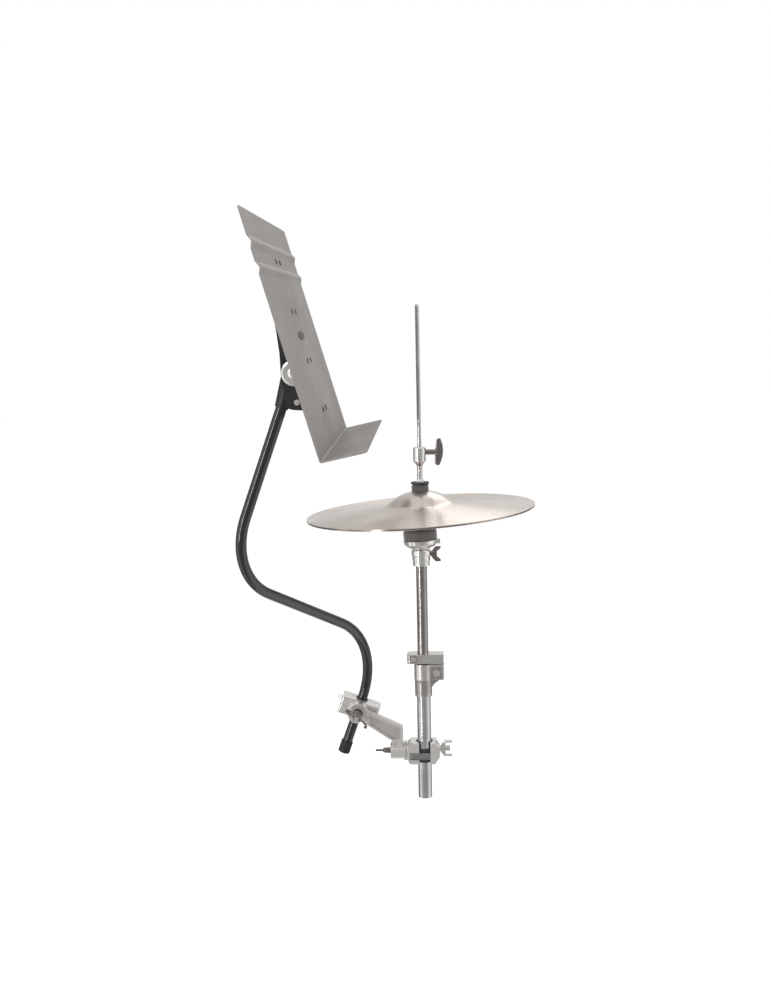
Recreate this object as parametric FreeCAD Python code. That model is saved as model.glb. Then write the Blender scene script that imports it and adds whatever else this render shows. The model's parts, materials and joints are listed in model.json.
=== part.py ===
"""Hi-hat upper stand with a cymbal pair, a tube multi-clamp and a tilting music desk on an S-bent tube.

Millimetres, +Z up.  The origin is the centre of the lower tube's cut end, and Z is the stand's axis.
+X is the way the desk faces, and -Y is the side of the wing nuts and of the near end of the desk.
"""
import FreeCAD
import Part
import math
import os

Vec = FreeCAD.Vector
X_AXIS, Y_AXIS, Z_AXIS = Vec(1, 0, 0), Vec(0, 1, 0), Vec(0, 0, 1)
os.makedirs("parts", exist_ok=True)

# ---------------------------------------------------------------- driving dimensions
RUN = 0.05                       # radial running clearance of a turning or sliding fit
GAP = 0.35                       # clear distance between parts of different bodies

LOWER_TUBE_R, LOWER_TUBE_BORE, LOWER_TUBE_TOP = 11.1, 9.7, 194.0
UPPER_TUBE_R, UPPER_TUBE_BORE = 8.65, 7.1
UPPER_TUBE_BOTTOM, UPPER_TUBE_TOP = 40.0, 396.0
ROD_R, ROD_TOP, ROD_BOTTOM = 3.175, 781.0, 250.0
LOWER_ROD_BOTTOM = 6.0

LOCK_BOTTOM, LOCK_TOP, LOCK_DEPTH = 220.2, 235.2, 25.0
LOCK_LEFT, LOCK_RIGHT = -24.8, 32.4
CASTING_BOTTOM, CASTING_TOP, CASTING_R = 166.0, 218.4, 14.4

SEAT_Z = 404.0                   # height of the seat's tilt axis
CYMBAL_R = 177.8                 # a 14 inch pair
CYMBAL_T = 1.2
CYMBAL_TILT = 3.27               # degrees, the +X side higher
RIM_Z = 461.8                    # height of the top cymbal's rim centre
RIM_GAP = 0.9
BOW_RISE, BELL_R = 10.5, 52.0
BELL_RISE, LOWER_BELL_RISE = 29.4, 26.0
CYMBAL_HOLE_R = 7.5

CLUTCH_TOP, CLUTCH_BODY_BOTTOM, CLUTCH_CONE_BOTTOM = 561.8, 540.0, 532.5
CLUTCH_R, SLEEVE_R, SLEEVE_BOTTOM = 10.0, 4.0, 468.0
CLUTCH_SCREW_Z, FLANGE_TOP = 554.0, 507.4

CLAMP_LOW, CLAMP_HIGH, CLAMP_SCREW_Z = 58.3, 92.3, 80.0
JAW_LEFT, JAW_RIGHT = -26.0, 24.4
ARM_AXIS_Z, BOSS_R, DISC_R = 76.6, 13.4, 16.1
BOSS_END = -53.8

TUBE_LEAN = 19.9                 # degrees, both straight ends of the S tube lean to -X at the foot
S_TUBE_R = 7.95
BEND_PLANE = 45.35               # degrees, turn of the S plane about the straight ends
BEND_TURN = 78.0                 # degrees, turn of each bend
BEND_R_LOW, BEND_R_HIGH = 126.5, 110.0
END_OFFSET = 347.4               # distance between the two parallel ends
TUBE_BASE = Vec(-115.3, 25.2, 111.9)
SWIVEL_V, LOW_END_V, BEND_V, TOP_END_V = 30.0, -46.0, 46.0, 512.0
SOCKET_BOTTOM_V, PIVOT_V, PIVOT_FORWARD = 474.0, 527.0, 3.9

PIVOT_BEHIND, PIVOT_ABOVE = 22.3, 108.7      # desk pivot behind the panel's face and above its fold
DESK_YAW, DESK_LEAN, LIP_RISE = 1.07, 16.21, 4.14
DESK_W, DESK_H, LIP_DEPTH, SHEET_T = 508.0, 318.0, 57.0, 1.6
CHEEK_Y, CHEEK_T = 24.0, 2.2
TAB_HEIGHTS = (50.0, 119.0, 188.0, 258.0)


# ---------------------------------------------------------------- shape helpers
def cyl(radius, height, base=Vec(0, 0, 0), axis=Z_AXIS):
    """Solid cylinder from base along axis."""
    return Part.makeCylinder(radius, height, base, axis)


def ring(outer, inner, height, base=Vec(0, 0, 0), axis=Z_AXIS):
    """Tube from base along axis."""
    return cyl(outer, height, base, axis).cut(cyl(inner, height + 2, base - axis, axis))


def block(low, high):
    """Box between two corners."""
    size = Vec(*high) - Vec(*low)
    return Part.makeBox(size.x, size.y, size.z, Vec(*low))


def polygon_face(points):
    """Face bounded by straight edges."""
    return Part.Face(Part.makePolygon(list(points) + [points[0]]))


def plate_xz(outline, y_low, y_high):
    """Plate with an outline given as (x, z) pairs, between two y values."""
    face = polygon_face([Vec(x, y_low, z) for x, z in outline])
    return face.extrude(Vec(0, y_high - y_low, 0))


def lathe(outline, base=Vec(0, 0, 0), axis=Z_AXIS):
    """Solid of revolution from (radius, height) pairs, carried from the Z axis to base and axis."""
    face = polygon_face([Vec(radius, 0, height) for radius, height in outline])
    shape = face.revolve(Vec(0, 0, 0), Z_AXIS, 360)
    return shape.transformed(FreeCAD.Placement(base, FreeCAD.Rotation(Z_AXIS, axis)).Matrix)


def hexagon(across_flats, height, base, axis, bore=0.0):
    """Hexagon nut or head from base along axis, with the bore cut when there is one."""
    radius = across_flats / math.sqrt(3)
    corners = [Vec(radius * math.cos(math.radians(a)), radius * math.sin(math.radians(a)), 0)
               for a in range(30, 390, 60)]
    prism = polygon_face(corners).extrude(Vec(0, 0, height))
    prism = prism.common(lathe([(0, 0), (radius - 0.5, 0), (radius, 0.5), (radius, height - 0.5),
                                (radius - 0.5, height), (0, height)]))
    if bore:
        prism = prism.cut(cyl(bore, height + 2, Vec(0, 0, -1)))
    return prism.transformed(FreeCAD.Placement(base, FreeCAD.Rotation(Z_AXIS, axis)).Matrix)


def fuse(*shapes):
    """One solid from overlapping shapes."""
    return shapes[0].multiFuse(list(shapes[1:])).removeSplitter()


def softened(shape, radius, chosen):
    """Fillet the edges that chosen(edge) picks."""
    return shape.makeFillet(radius, [edge for edge in shape.Edges if chosen(edge)])


def carried(shape, base, axis, across):
    """Carry a shape from its own frame (X across, Z along the axis) to base."""
    side = axis.cross(across)
    return shape.transformed(FreeCAD.Matrix(across.x, side.x, axis.x, base.x, across.y, side.y, axis.y, base.y,
                                            across.z, side.z, axis.z, base.z, 0, 0, 0, 1))


def wing_pair(span, height, thickness, hub_r, hub_len, base, axis, across, stem=0.0):
    """Wing nut or wing bolt head: a hub along axis with two flat ears spread along across, above a round stem."""
    hub = lathe([(0, 0), (hub_r, 0), (hub_r * 0.78, hub_len), (0, hub_len)])
    half, winged = span / 2, hub_len - stem
    ear_outline = [(0, 0.6), (hub_r, 0.6), (half * 0.72, winged * 0.42), (half, winged * 0.75),
                   (half, height - stem), (half * 0.74, height - stem), (hub_r * 0.5, winged * 0.8), (0, winged * 0.8)]
    ear = plate_xz([(across_ear, up + stem) for across_ear, up in ear_outline], -thickness / 2, thickness / 2)
    ear = softened(ear, min(thickness * 0.3, 1.3), lambda edge: abs(edge.tangentAt(edge.FirstParameter).y) < 0.01
                   and edge.CenterOfMass.x > hub_r)
    twin = ear.mirror(Vec(0, 0, 0), X_AXIS)
    return carried(fuse(hub, ear, twin), base, axis, across)


def thumb_crescent(half, thickness, base, axis, across):
    """Thumb grip with a bowed back and a nearly flat front, half on each side of the axis."""
    back = [(-half, 6.4), (0.0, 13.2), (half, 9.2)]
    front = [(half - 1.6, 3.4), (0.0, 0.6), (-half + 2.6, 0.2)]
    corners = [[Vec(u, -thickness / 2, v) for u, v in side] for side in (back, front)]
    edges = [Part.Arc(*corners[0]).toShape(), Part.LineSegment(corners[0][2], corners[1][0]).toShape(),
             Part.Arc(*corners[1]).toShape(), Part.LineSegment(corners[1][2], corners[0][0]).toShape()]
    grip = Part.Face(Part.Wire(edges)).extrude(Vec(0, thickness, 0))
    grip = softened(grip, 2.2, lambda edge: abs(edge.tangentAt(edge.FirstParameter).y) > 0.9)
    grip = softened(grip, 1.8, lambda edge: abs(abs(edge.CenterOfMass.y) - thickness / 2) < 0.01)
    return carried(grip, base, axis, across)


def pin_with_heads(radius, length, head_r, head_t, base, axis):
    """Plain pin with a low round head at each end, from base along axis."""
    return fuse(cyl(radius, length, base, axis), cyl(head_r, head_t, base - axis * head_t, axis),
                cyl(head_r, head_t, base + axis * length, axis))


NODES = {}


def node(name, shape):
    """Keep a finished piece under its node name."""
    NODES[name] = shape


# ---------------------------------------------------------------- frames of the leaning parts
LEAN_PLACE = FreeCAD.Rotation(Y_AXIS, TUBE_LEAN)
TUBE_AXIS = LEAN_PLACE.multVec(Z_AXIS)
ACROSS_TUBE = LEAN_PLACE.multVec(X_AXIS)
BEND_SIDE = ACROSS_TUBE * -math.cos(math.radians(BEND_PLANE)) + Y_AXIS * -math.sin(math.radians(BEND_PLANE))
HOLDER = TUBE_BASE + TUBE_AXIS * SWIVEL_V
HEAD = TUBE_BASE + BEND_SIDE * END_OFFSET
PIVOT = HEAD + TUBE_AXIS * PIVOT_V + ACROSS_TUBE * PIVOT_FORWARD
DESK_TURN = FreeCAD.Rotation(Z_AXIS, DESK_YAW).multiply(FreeCAD.Rotation(Y_AXIS, -DESK_LEAN))
DESK_FRONT, DESK_SIDE, DESK_UP = (DESK_TURN.multVec(axis) for axis in (X_AXIS, Y_AXIS, Z_AXIS))
DESK_FOLD = PIVOT + DESK_FRONT * PIVOT_BEHIND - DESK_UP * PIVOT_ABOVE
TILT_TURN = FreeCAD.Rotation(Y_AXIS, -CYMBAL_TILT)


def in_holder(shape):
    """Carry a shape from the holder's own frame (x across, y through, z along the tube)."""
    return shape.transformed(FreeCAD.Placement(HOLDER, LEAN_PLACE).Matrix)


def in_desk(shape):
    """Carry a shape from the desk's own frame (x out of the face, y along the fold, z up the panel)."""
    return shape.transformed(FreeCAD.Placement(DESK_FOLD, DESK_TURN).Matrix)


def tilted(shape, centre_z):
    """Tilt a shape as the cymbals are tilted, about a point of the stand's axis."""
    return shape.transformed(FreeCAD.Placement(Vec(0, 0, 0), TILT_TURN, Vec(0, 0, centre_z)).Matrix)


# ---------------------------------------------------------------- stand tubes and height clamp
def make_tubes():
    """Lower and upper tubes."""
    node("lower_tube", ring(LOWER_TUBE_R, LOWER_TUBE_BORE, LOWER_TUBE_TOP))
    node("upper_tube", ring(UPPER_TUBE_R, UPPER_TUBE_BORE, UPPER_TUBE_TOP - UPPER_TUBE_BOTTOM,
                            Vec(0, 0, UPPER_TUBE_BOTTOM)))


def make_height_clamp():
    """Split casting on the lower tube's top, its bush, and the bolt that closes it."""
    ear_x, ear_y, ear_bottom = 33.0, 10.5, 194.0
    bolt_x, bolt_z, bolt_r = 21.6, 205.8, 3.0
    skirt = lathe([(0, CASTING_BOTTOM), (13.0, CASTING_BOTTOM), (13.6, CASTING_BOTTOM + 1.2), (13.7, 190),
                   (CASTING_R, 194), (CASTING_R, CASTING_TOP), (0, CASTING_TOP)])
    ear = block((0, -ear_y, ear_bottom), (ear_x, ear_y, CASTING_TOP))
    ear = softened(ear, 2.0, lambda edge: edge.CenterOfMass.x > ear_x - 0.1)
    web = plate_xz([(0, 181), (13, 181), (18.5, 187.5), (27, ear_bottom), (0, ear_bottom + 2)], -6, 6)
    casting = fuse(skirt, ear, web)
    casting = casting.cut(cyl(LOWER_TUBE_R, 60, Vec(0, 0, CASTING_BOTTOM - 1)))
    casting = casting.cut(block((LOWER_TUBE_R - 1, -1.2, 188), (ear_x + 1, 1.2, CASTING_TOP + 1)))
    casting = casting.cut(cyl(bolt_r + RUN, 40, Vec(bolt_x, -20, bolt_z), Y_AXIS))
    casting = casting.cut(hexagon(11.3, 3, Vec(bolt_x, -ear_y - 0.5, bolt_z), Y_AXIS))
    node("height_clamp", casting)
    bush = ring(LOWER_TUBE_R, UPPER_TUBE_R + RUN, CASTING_TOP - LOWER_TUBE_TOP, Vec(0, 0, LOWER_TUBE_TOP))
    node("clamp_bush", bush.cut(block((0, -0.8, LOWER_TUBE_TOP + 1), (20, 0.8, CASTING_TOP + 1))))
    front = -ear_y + 2.5
    node("clamp_nut", hexagon(11.0, 6.5, Vec(bolt_x, front, bolt_z), Y_AXIS * -1, bolt_r + RUN))
    shank = cyl(bolt_r, ear_y - front + 8, Vec(bolt_x, front - 7.4, bolt_z), Y_AXIS)
    collar = ring(6.2, bolt_r, 2.0, Vec(bolt_x, ear_y + GAP, bolt_z), Y_AXIS)
    handle = wing_pair(27, 20, 5, 6.2, 13, Vec(bolt_x, ear_y + GAP + 1.9, bolt_z), Y_AXIS, Z_AXIS)
    node("height_wing_bolt", fuse(shank, collar, handle))


def make_memory_lock():
    """Two hinged halves round the upper tube, with their hinge pin and screw."""
    half = LOCK_DEPTH / 2
    hinge_x, screw_x, screw_z = 27.5, -15.0, (LOCK_BOTTOM + LOCK_TOP) / 2
    knuckle_x = hinge_x - 4.5
    whole = block((LOCK_LEFT, -half, LOCK_BOTTOM), (LOCK_RIGHT, half, LOCK_TOP))
    whole = softened(whole, 5.0, lambda edge: abs(edge.tangentAt(0).z) > 0.9 and edge.CenterOfMass.x < 0)
    whole = softened(whole, 1.0, lambda edge: abs(edge.CenterOfMass.z - screw_z) > 7)
    whole = whole.cut(cyl(UPPER_TUBE_R, 30, Vec(0, 0, LOCK_BOTTOM - 5)))
    whole = whole.cut(cyl(2.0, 30, Vec(hinge_x, 0, LOCK_BOTTOM - 5)))
    middle = LOCK_BOTTOM + (LOCK_TOP - LOCK_BOTTOM) / 2
    knuckle = block((knuckle_x, -half - 1, middle), (LOCK_RIGHT + 1, half + 1, LOCK_TOP + 1))
    front_zone = block((LOCK_LEFT - 1, -half - 1, LOCK_BOTTOM - 1), (LOCK_RIGHT + 1, -0.4, LOCK_TOP + 1))
    front_zone = fuse(front_zone, block((knuckle_x, -1, LOCK_BOTTOM - 1), (LOCK_RIGHT + 1, 4.2, middle)))
    rear_zone = block((LOCK_LEFT - 1, 0.4, LOCK_BOTTOM - 1), (LOCK_RIGHT + 1, half + 1, LOCK_TOP + 1))
    rear_zone = fuse(rear_zone, block((knuckle_x, -4.2, middle), (LOCK_RIGHT + 1, 1, LOCK_TOP + 1)))
    front = whole.common(front_zone).cut(knuckle.common(block((knuckle_x - 0.5, -4.6, 0), (40, 5, 999))))
    lower_right = block((knuckle_x - 0.5, -5, 0), (40, 4.6, middle))
    rear = whole.common(rear_zone).cut(lower_right)
    recess = cyl(5.6, 4.0, Vec(screw_x, -half - 1, screw_z), Y_AXIS)
    screw_hole = cyl(2.5 + RUN, 30, Vec(screw_x, -half - 1, screw_z), Y_AXIS)
    node("memory_lock_front", front.cut(recess).cut(screw_hole))
    node("memory_lock_rear", rear.cut(cyl(2.5 + RUN, 9, Vec(screw_x, -1, screw_z), Y_AXIS)))
    node("memory_lock_pin", cyl(2.0, LOCK_TOP - LOCK_BOTTOM, Vec(hinge_x, 0, LOCK_BOTTOM)))
    seat_y = -half + 3.0 - GAP
    head = cyl(4.6, 3.2, Vec(screw_x, seat_y - 3.2, screw_z), Y_AXIS)
    head = head.cut(block((screw_x - 1.9, seat_y - 4, screw_z - 1.9), (screw_x + 1.9, seat_y - 1.4, screw_z + 1.9)))
    node("memory_lock_screw", fuse(head, cyl(2.5, 17, Vec(screw_x, seat_y - 1.0, screw_z), Y_AXIS)))


# ---------------------------------------------------------------- pull rod and spring
def make_rod():
    """Pull rod, coupling, lower rod, the return spring and the guides that they run in."""
    top_guide_z, bottom_guide_z, collar_z = 366.0, 62.0, 236.0
    shaft = cyl(ROD_R, ROD_TOP - ROD_R - ROD_BOTTOM, Vec(0, 0, ROD_BOTTOM))
    tip = Part.makeSphere(ROD_R, Vec(0, 0, ROD_TOP - ROD_R))
    node("pull_rod", fuse(shaft, tip))
    coupling = fuse(cyl(5.0, 32, Vec(0, 0, collar_z - 10)), cyl(6.4, 5.0, Vec(0, 0, collar_z - 12)))
    coupling = coupling.cut(cyl(ROD_R, 20, Vec(0, 0, ROD_BOTTOM))).cut(cyl(2.5, 18, Vec(0, 0, collar_z - 13)))
    node("rod_coupling", coupling)
    node("lower_rod", cyl(2.5, collar_z + 4 - LOWER_ROD_BOTTOM, Vec(0, 0, LOWER_ROD_BOTTOM)))
    node("rod_guide_top", ring(UPPER_TUBE_BORE, ROD_R + RUN, 12, Vec(0, 0, top_guide_z)))
    node("rod_guide_bottom", ring(UPPER_TUBE_BORE, 2.5 + RUN, 12, Vec(0, 0, bottom_guide_z)))
    wire_r, coil_r, turns = 0.9, 5.0, 18
    low, high = bottom_guide_z + 12 + wire_r + 0.3, collar_z - 12 - wire_r - 0.3
    helix = Part.makeHelix((high - low) / turns, high - low, coil_r)
    helix.translate(Vec(0, 0, low))
    profile = Part.Wire(Part.makeCircle(wire_r, Vec(coil_r, 0, low), Y_AXIS))
    node("return_spring", Part.Wire(helix).makePipeShell([profile], True, True))


# ---------------------------------------------------------------- seat and cymbals
def make_seat():
    """Seat body on the upper tube, the cup that tilts on its trunnions, the tilter screw and the felt."""
    ear_in, ear_out, ear_half = 6.3, 8.8, 4.0
    trunnion_r, rod_way = 2.0, 4.3
    body = lathe([(0, 376), (13.3, 376), (13.3, 383), (14.2, 384), (14.2, 390), (15.2, 392), (15.2, 400),
                  (13.0, 401.6), (0, 401.6)])
    body = body.cut(cyl(UPPER_TUBE_R, UPPER_TUBE_TOP - 375, Vec(0, 0, 375))).cut(cyl(rod_way + 1, 30, Vec(0, 0, 380)))
    ears = [block((-ear_half, min(side * ear_in, side * ear_out), 400),
                  (ear_half, max(side * ear_in, side * ear_out), SEAT_Z + 3)) for side in (-1, 1)]
    body = fuse(body, *ears).cut(cyl(trunnion_r + RUN, 30, Vec(0, -15, SEAT_Z), Y_AXIS))
    node("seat_body", body.cut(cyl(3.0 + RUN, 12, Vec(9.2, 0, 394), X_AXIS)))

    cup = lathe([(10.4, 403), (15, 403), (22, 406.5), (26, 411), (27, 417), (25.6, 417), (24.2, 412.4),
                 (20.5, 409.4), (10.4, 409.4)])
    hub = ring(6.0, rod_way, 8, Vec(0, 0, 402.5))
    floor = ring(11.5, rod_way, 2.6, Vec(0, 0, 408.2))
    stubs = [cyl(trunnion_r, ear_out - 5.2, Vec(0, side * 5.2, SEAT_Z), Y_AXIS * side) for side in (-1, 1)]
    lug = block((25, -4, 409.5), (30.5, 4, 416)).cut(cyl(24.5, 20, Vec(0, 0, 400)))
    node("seat_cup", tilted(fuse(cup, hub, floor, lug, *stubs), SEAT_Z))

    screw = wing_pair(24, 15, 4, 4.6, 9, Vec(15.2 + GAP, 0, 394), X_AXIS, Z_AXIS)
    node("tilter_screw", fuse(screw, cyl(3.0, 7, Vec(9.4, 0, 394), X_AXIS)))

    felt = lathe([(6.6, 411.2), (22.6, 411.2), (24.9, 417.6), (26.4, 419.2), (26.4, 429.0), (25.6, 431.6),
                  (23.6, 433.5), (6.6, 433.5)])
    node("seat_felt", tilted(felt, SEAT_Z))


def cymbal_shape(bell_rise):
    """One cymbal with its rim plane at Z = 0 and its bell up."""
    rise, bell_r = BOW_RISE, BELL_R

    def arc(a, b, c):
        return Part.Arc(Vec(a[0], 0, a[1]), Vec(b[0], 0, b[1]), Vec(c[0], 0, c[1])).toShape()

    def line(a, b):
        return Part.LineSegment(Vec(a[0], 0, a[1]), Vec(b[0], 0, b[1])).toShape()

    thickness = CYMBAL_T
    rim_top, rim_low = (CYMBAL_R, thickness * 0.7), (CYMBAL_R, 0.0)
    bow_mid = ((CYMBAL_R + bell_r) / 2, rise * 0.56)
    shoulder = (bell_r, rise)
    bell_mid = (bell_r * 0.66, rise + (bell_rise - rise) * 0.69)
    crown = (bell_r * 0.30, bell_rise)
    lifted = [(r, z + thickness) for r, z in (bow_mid, shoulder, bell_mid, crown)]
    edges = [arc(rim_low, bow_mid, shoulder), arc(shoulder, bell_mid, crown),
             line(crown, (CYMBAL_HOLE_R, bell_rise)),
             line((CYMBAL_HOLE_R, bell_rise), (CYMBAL_HOLE_R, bell_rise + thickness)),
             line((CYMBAL_HOLE_R, bell_rise + thickness), lifted[3]), arc(lifted[3], lifted[2], lifted[1]),
             arc(lifted[1], lifted[0], rim_top), line(rim_top, rim_low)]
    return Part.Face(Part.Wire(edges)).revolve(Vec(0, 0, 0), Z_AXIS, 360)


def make_cymbals():
    """The closed pair: bell up over bell down, both tilted alike."""
    top = cymbal_shape(BELL_RISE)
    top.translate(Vec(0, 0, RIM_Z))
    bottom = cymbal_shape(LOWER_BELL_RISE).mirror(Vec(0, 0, 0), Z_AXIS)
    bottom.translate(Vec(0, 0, RIM_Z - RIM_GAP))
    node("top_cymbal", tilted(top, RIM_Z))
    node("bottom_cymbal", tilted(bottom, RIM_Z))


# ---------------------------------------------------------------- clutch
def make_clutch():
    """Clutch body and sleeve, wing screw, nuts, washer and the two felts."""
    bell_top = RIM_Z + BELL_RISE + CYMBAL_T
    felt_gap = 1.25
    body = lathe([(0, CLUTCH_CONE_BOTTOM), (SLEEVE_R + 0.3, CLUTCH_CONE_BOTTOM), (CLUTCH_R, CLUTCH_BODY_BOTTOM),
                  (CLUTCH_R, CLUTCH_TOP - 1.5), (CLUTCH_R - 1.5, CLUTCH_TOP), (0, CLUTCH_TOP)])
    sleeve = cyl(SLEEVE_R, CLUTCH_CONE_BOTTOM - SLEEVE_BOTTOM + 1, Vec(0, 0, SLEEVE_BOTTOM))
    body = fuse(body, sleeve).cut(cyl(ROD_R + RUN, 120, Vec(0, 0, 455)))
    node("clutch_body", body.cut(cyl(3.0 + RUN, 14, Vec(0, 0, CLUTCH_SCREW_Z), X_AXIS)))

    shaft = cyl(3.0, 11.4, Vec(ROD_R + 0.2, 0, CLUTCH_SCREW_Z), X_AXIS)
    neck = cyl(4.3, 16.0, Vec(CLUTCH_R + GAP, 0, CLUTCH_SCREW_Z), X_AXIS)
    grip = thumb_crescent(21.6, 8.0, Vec(23.5, 0, CLUTCH_SCREW_Z), X_AXIS, Z_AXIS)
    node("clutch_wing_screw", fuse(shaft, neck, grip))

    flange_t = 3.2
    node("clutch_lock_nut", hexagon(12, 4.0, Vec(0, 0, FLANGE_TOP + 0.2), Z_AXIS, SLEEVE_R))
    node("clutch_flange", ring(14.0, SLEEVE_R, flange_t, Vec(0, 0, FLANGE_TOP - flange_t)))
    felt_h = FLANGE_TOP - flange_t - felt_gap - bell_top
    felt = softened(cyl(13.4, felt_h, Vec(0, 0, bell_top)), 1.2, lambda edge: edge.CenterOfMass.z > bell_top + 1)
    felt = felt.cut(cyl(6.6, 30, Vec(0, 0, bell_top - 2)))
    recentred = (bell_top + felt_h / 2 - RIM_Z) * math.tan(math.radians(CYMBAL_TILT))
    felt.translate(Vec(recentred, 0, 0))
    node("clutch_felt_upper", tilted(felt, RIM_Z))
    low_top = RIM_Z + BELL_RISE
    low = softened(cyl(13.0, 6.0, Vec(0, 0, low_top - 6.0)), 2.0, lambda edge: edge.CenterOfMass.z < low_top - 4)
    node("clutch_felt_lower", tilted(low.cut(cyl(6.6, 12, Vec(0, 0, low_top - 9))), RIM_Z))
    nut_top = low_top - 6 - felt_gap
    node("clutch_bottom_nut", fuse(hexagon(17, 5.2, Vec(0, 0, nut_top - 7), Z_AXIS, SLEEVE_R),
                                   ring(10.5, SLEEVE_R, 2.0, Vec(0, 0, nut_top - 2))))


# ---------------------------------------------------------------- multi-clamp
def make_multi_clamp():
    """Liner, two hinged jaws, gate bar, shoe and wing screw on the lower tube."""
    low, high, height = CLAMP_LOW, CLAMP_HIGH, CLAMP_HIGH - CLAMP_LOW
    middle = (low + high) / 2
    liner_r, depth = 13.6, 17.0
    gap_left, gap_right = -8.2, 9.8
    slot_low, slot_high, bar_z, window_z = 65.2, 76.8, 71.0, 81.0
    liner = ring(liner_r, LOWER_TUBE_R + RUN, height - 3, Vec(0, 0, low + 1.5))
    window = block((gap_left - 0.6, -depth, window_z), (gap_right - 0.6, 0, high))
    node("jaw_liner", liner.cut(window))
    bore = cyl(liner_r + RUN, height + 4, Vec(0, 0, low - 2))

    left = plate_xz([(JAW_LEFT, low + 5), (JAW_LEFT + 3, low), (-4.5, low), (-4.5, high), (JAW_LEFT + 4, high),
                     (JAW_LEFT, high - 4)], -depth, depth)
    left = left.cut(block((gap_left, -depth - 1, low - 1), (0, -liner_r + 3.4, high + 1)))
    left_boss = block((-6, liner_r + 1.0, low), (1.0, depth, high))
    pin_x, pin_y, pin_r = -19.6, -14.6, 1.6
    slot = block((-23.2, -depth - 1, slot_low), (0, -11.6, slot_high))
    left = fuse(left, left_boss).cut(bore).cut(slot).cut(cyl(pin_r, 60, Vec(pin_x, pin_y, low - 2)))

    cut = 8.0
    right = plate_xz([(4.5, low), (JAW_RIGHT - cut, low), (JAW_RIGHT, low + cut + 3), (JAW_RIGHT, high - cut - 3),
                      (JAW_RIGHT - cut, high), (4.5, high)], -depth, depth)
    right = right.cut(block((0, -depth - 1, low - 1), (gap_right, -liner_r + 3.4, high + 1)))
    right = right.cut(block((8, -15.4, slot_low + 1), (14.5, -11.6, slot_high - 1)))
    hinge_x, hinge_y = 1.5, depth + 0.6
    left_knuckle = fuse(cyl(4.0, height / 2, Vec(hinge_x, hinge_y, low)),
                        block((-6, depth - 3, low), (hinge_x, depth + 4.6, middle)))
    right_knuckle = fuse(cyl(4.0, height / 2 - GAP, Vec(hinge_x, hinge_y, middle + GAP)),
                         block((hinge_x, depth - 3, middle + GAP), (10, depth + 4.6, high)))
    clear_low = cyl(4.4, height / 2 + GAP, Vec(hinge_x, hinge_y, low - GAP))
    clear_high = cyl(4.4, height / 2 + 1, Vec(hinge_x, hinge_y, middle))
    pin_hole = cyl(1.6, height + 4, Vec(hinge_x, hinge_y, low - 2))
    left = fuse(left.cut(clear_high), left_knuckle).cut(bore).cut(pin_hole)
    right = fuse(right.cut(bore).cut(clear_low), right_knuckle).cut(bore).cut(pin_hole)
    upper_left = block((-7, depth - 3.2, middle), (hinge_x + 6, depth + 6, high + 1))
    lower_right = block((hinge_x - 6, depth - 3.2, low - 1), (10.5, depth + 6, middle + GAP))
    left = left.cut(upper_left.cut(block((-40, -40, 0), (-4.2, 40, 200))))
    shoe_pocket = block((liner_r - 1, -7, CLAMP_SCREW_Z - 9), (19.4, 7, CLAMP_SCREW_Z + 9))
    right = right.cut(lower_right).cut(shoe_pocket).cut(cyl(4.0 + RUN, 30, Vec(10, 0, CLAMP_SCREW_Z), X_AXIS))
    node("clamp_hinge_pin", pin_with_heads(1.6, height, 2.8, 1.0, Vec(hinge_x, hinge_y, low), Z_AXIS))
    node("clamp_jaw_left", left.cut(cyl(3.0, 14, Vec(JAW_LEFT - 1, 0, ARM_AXIS_Z), X_AXIS)))
    node("clamp_jaw_right", right)

    bar = block((pin_x - 2.4, -depth - 0.4, bar_z - 5.3), (gap_right - 0.5, -12.6, bar_z + 5.3))
    bar = softened(bar, 1.4, lambda edge: abs(edge.CenterOfMass.y + depth + 0.4) < 0.1)
    tongue = block((gap_right - 1, -15.0, bar_z - 4.4), (14.0, -13.2, bar_z + 4.4))
    bar = fuse(bar, tongue).cut(bore)
    node("gate_bar", fuse(bar, cyl(pin_r, height - 5, Vec(pin_x, pin_y, low + 1))))
    shoe = block((liner_r + 0.45, -6.6, CLAMP_SCREW_Z - 8.6), (17.6, 6.6, CLAMP_SCREW_Z + 8.6)).cut(
        cyl(liner_r + 0.35, 40, Vec(0, 0, CLAMP_SCREW_Z - 20)))
    node("clamp_shoe", shoe)
    face_x = JAW_RIGHT + GAP
    screw = fuse(cyl(4.0, face_x - 17.6 + 1, Vec(17.6, 0, CLAMP_SCREW_Z), X_AXIS),
                 cyl(6.0, 2.0, Vec(face_x, 0, CLAMP_SCREW_Z), X_AXIS),
                 cyl(4.8, 16.0, Vec(face_x, 0, CLAMP_SCREW_Z), X_AXIS))
    ear = plate_xz([(0, 1.6), (6.0, 1.6), (9.8, 4.0), (12.8, 7.0), (12.8, 19.4), (9.6, 19.4), (9.6, 9.0), (4.0, 8.0),
                    (0, 8.0)], -4.5, 4.5)
    ear = softened(ear, 1.2, lambda edge: abs(edge.tangentAt(edge.FirstParameter).y) < 0.01
                   and edge.CenterOfMass.x > 9.0)
    ears = [carried(ear, Vec(face_x, 0, CLAMP_SCREW_Z), X_AXIS, Z_AXIS * side) for side in (-1, 1)]
    node("clamp_wing_screw", fuse(screw, *ears))


def toothed_disc(x_low, x_high, towards):
    """Ratchet disc about the arm axis with radial teeth on the face that looks along towards."""
    disc = ring(DISC_R, 4.2, x_high - x_low, Vec(x_low, 0, ARM_AXIS_Z), X_AXIS)
    face_x = x_high if towards > 0 else x_low
    groove = Part.makeBox(1.4, 40, 1.1, Vec(face_x - 0.7, 5.5, ARM_AXIS_Z - 0.55))
    grooves = []
    for index in range(24):
        turned = groove.copy()
        turned.rotate(Vec(0, 0, ARM_AXIS_Z), X_AXIS, index * 15)
        grooves.append(turned)
    return disc.cut(grooves[0].multiFuse(grooves[1:]))


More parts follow.
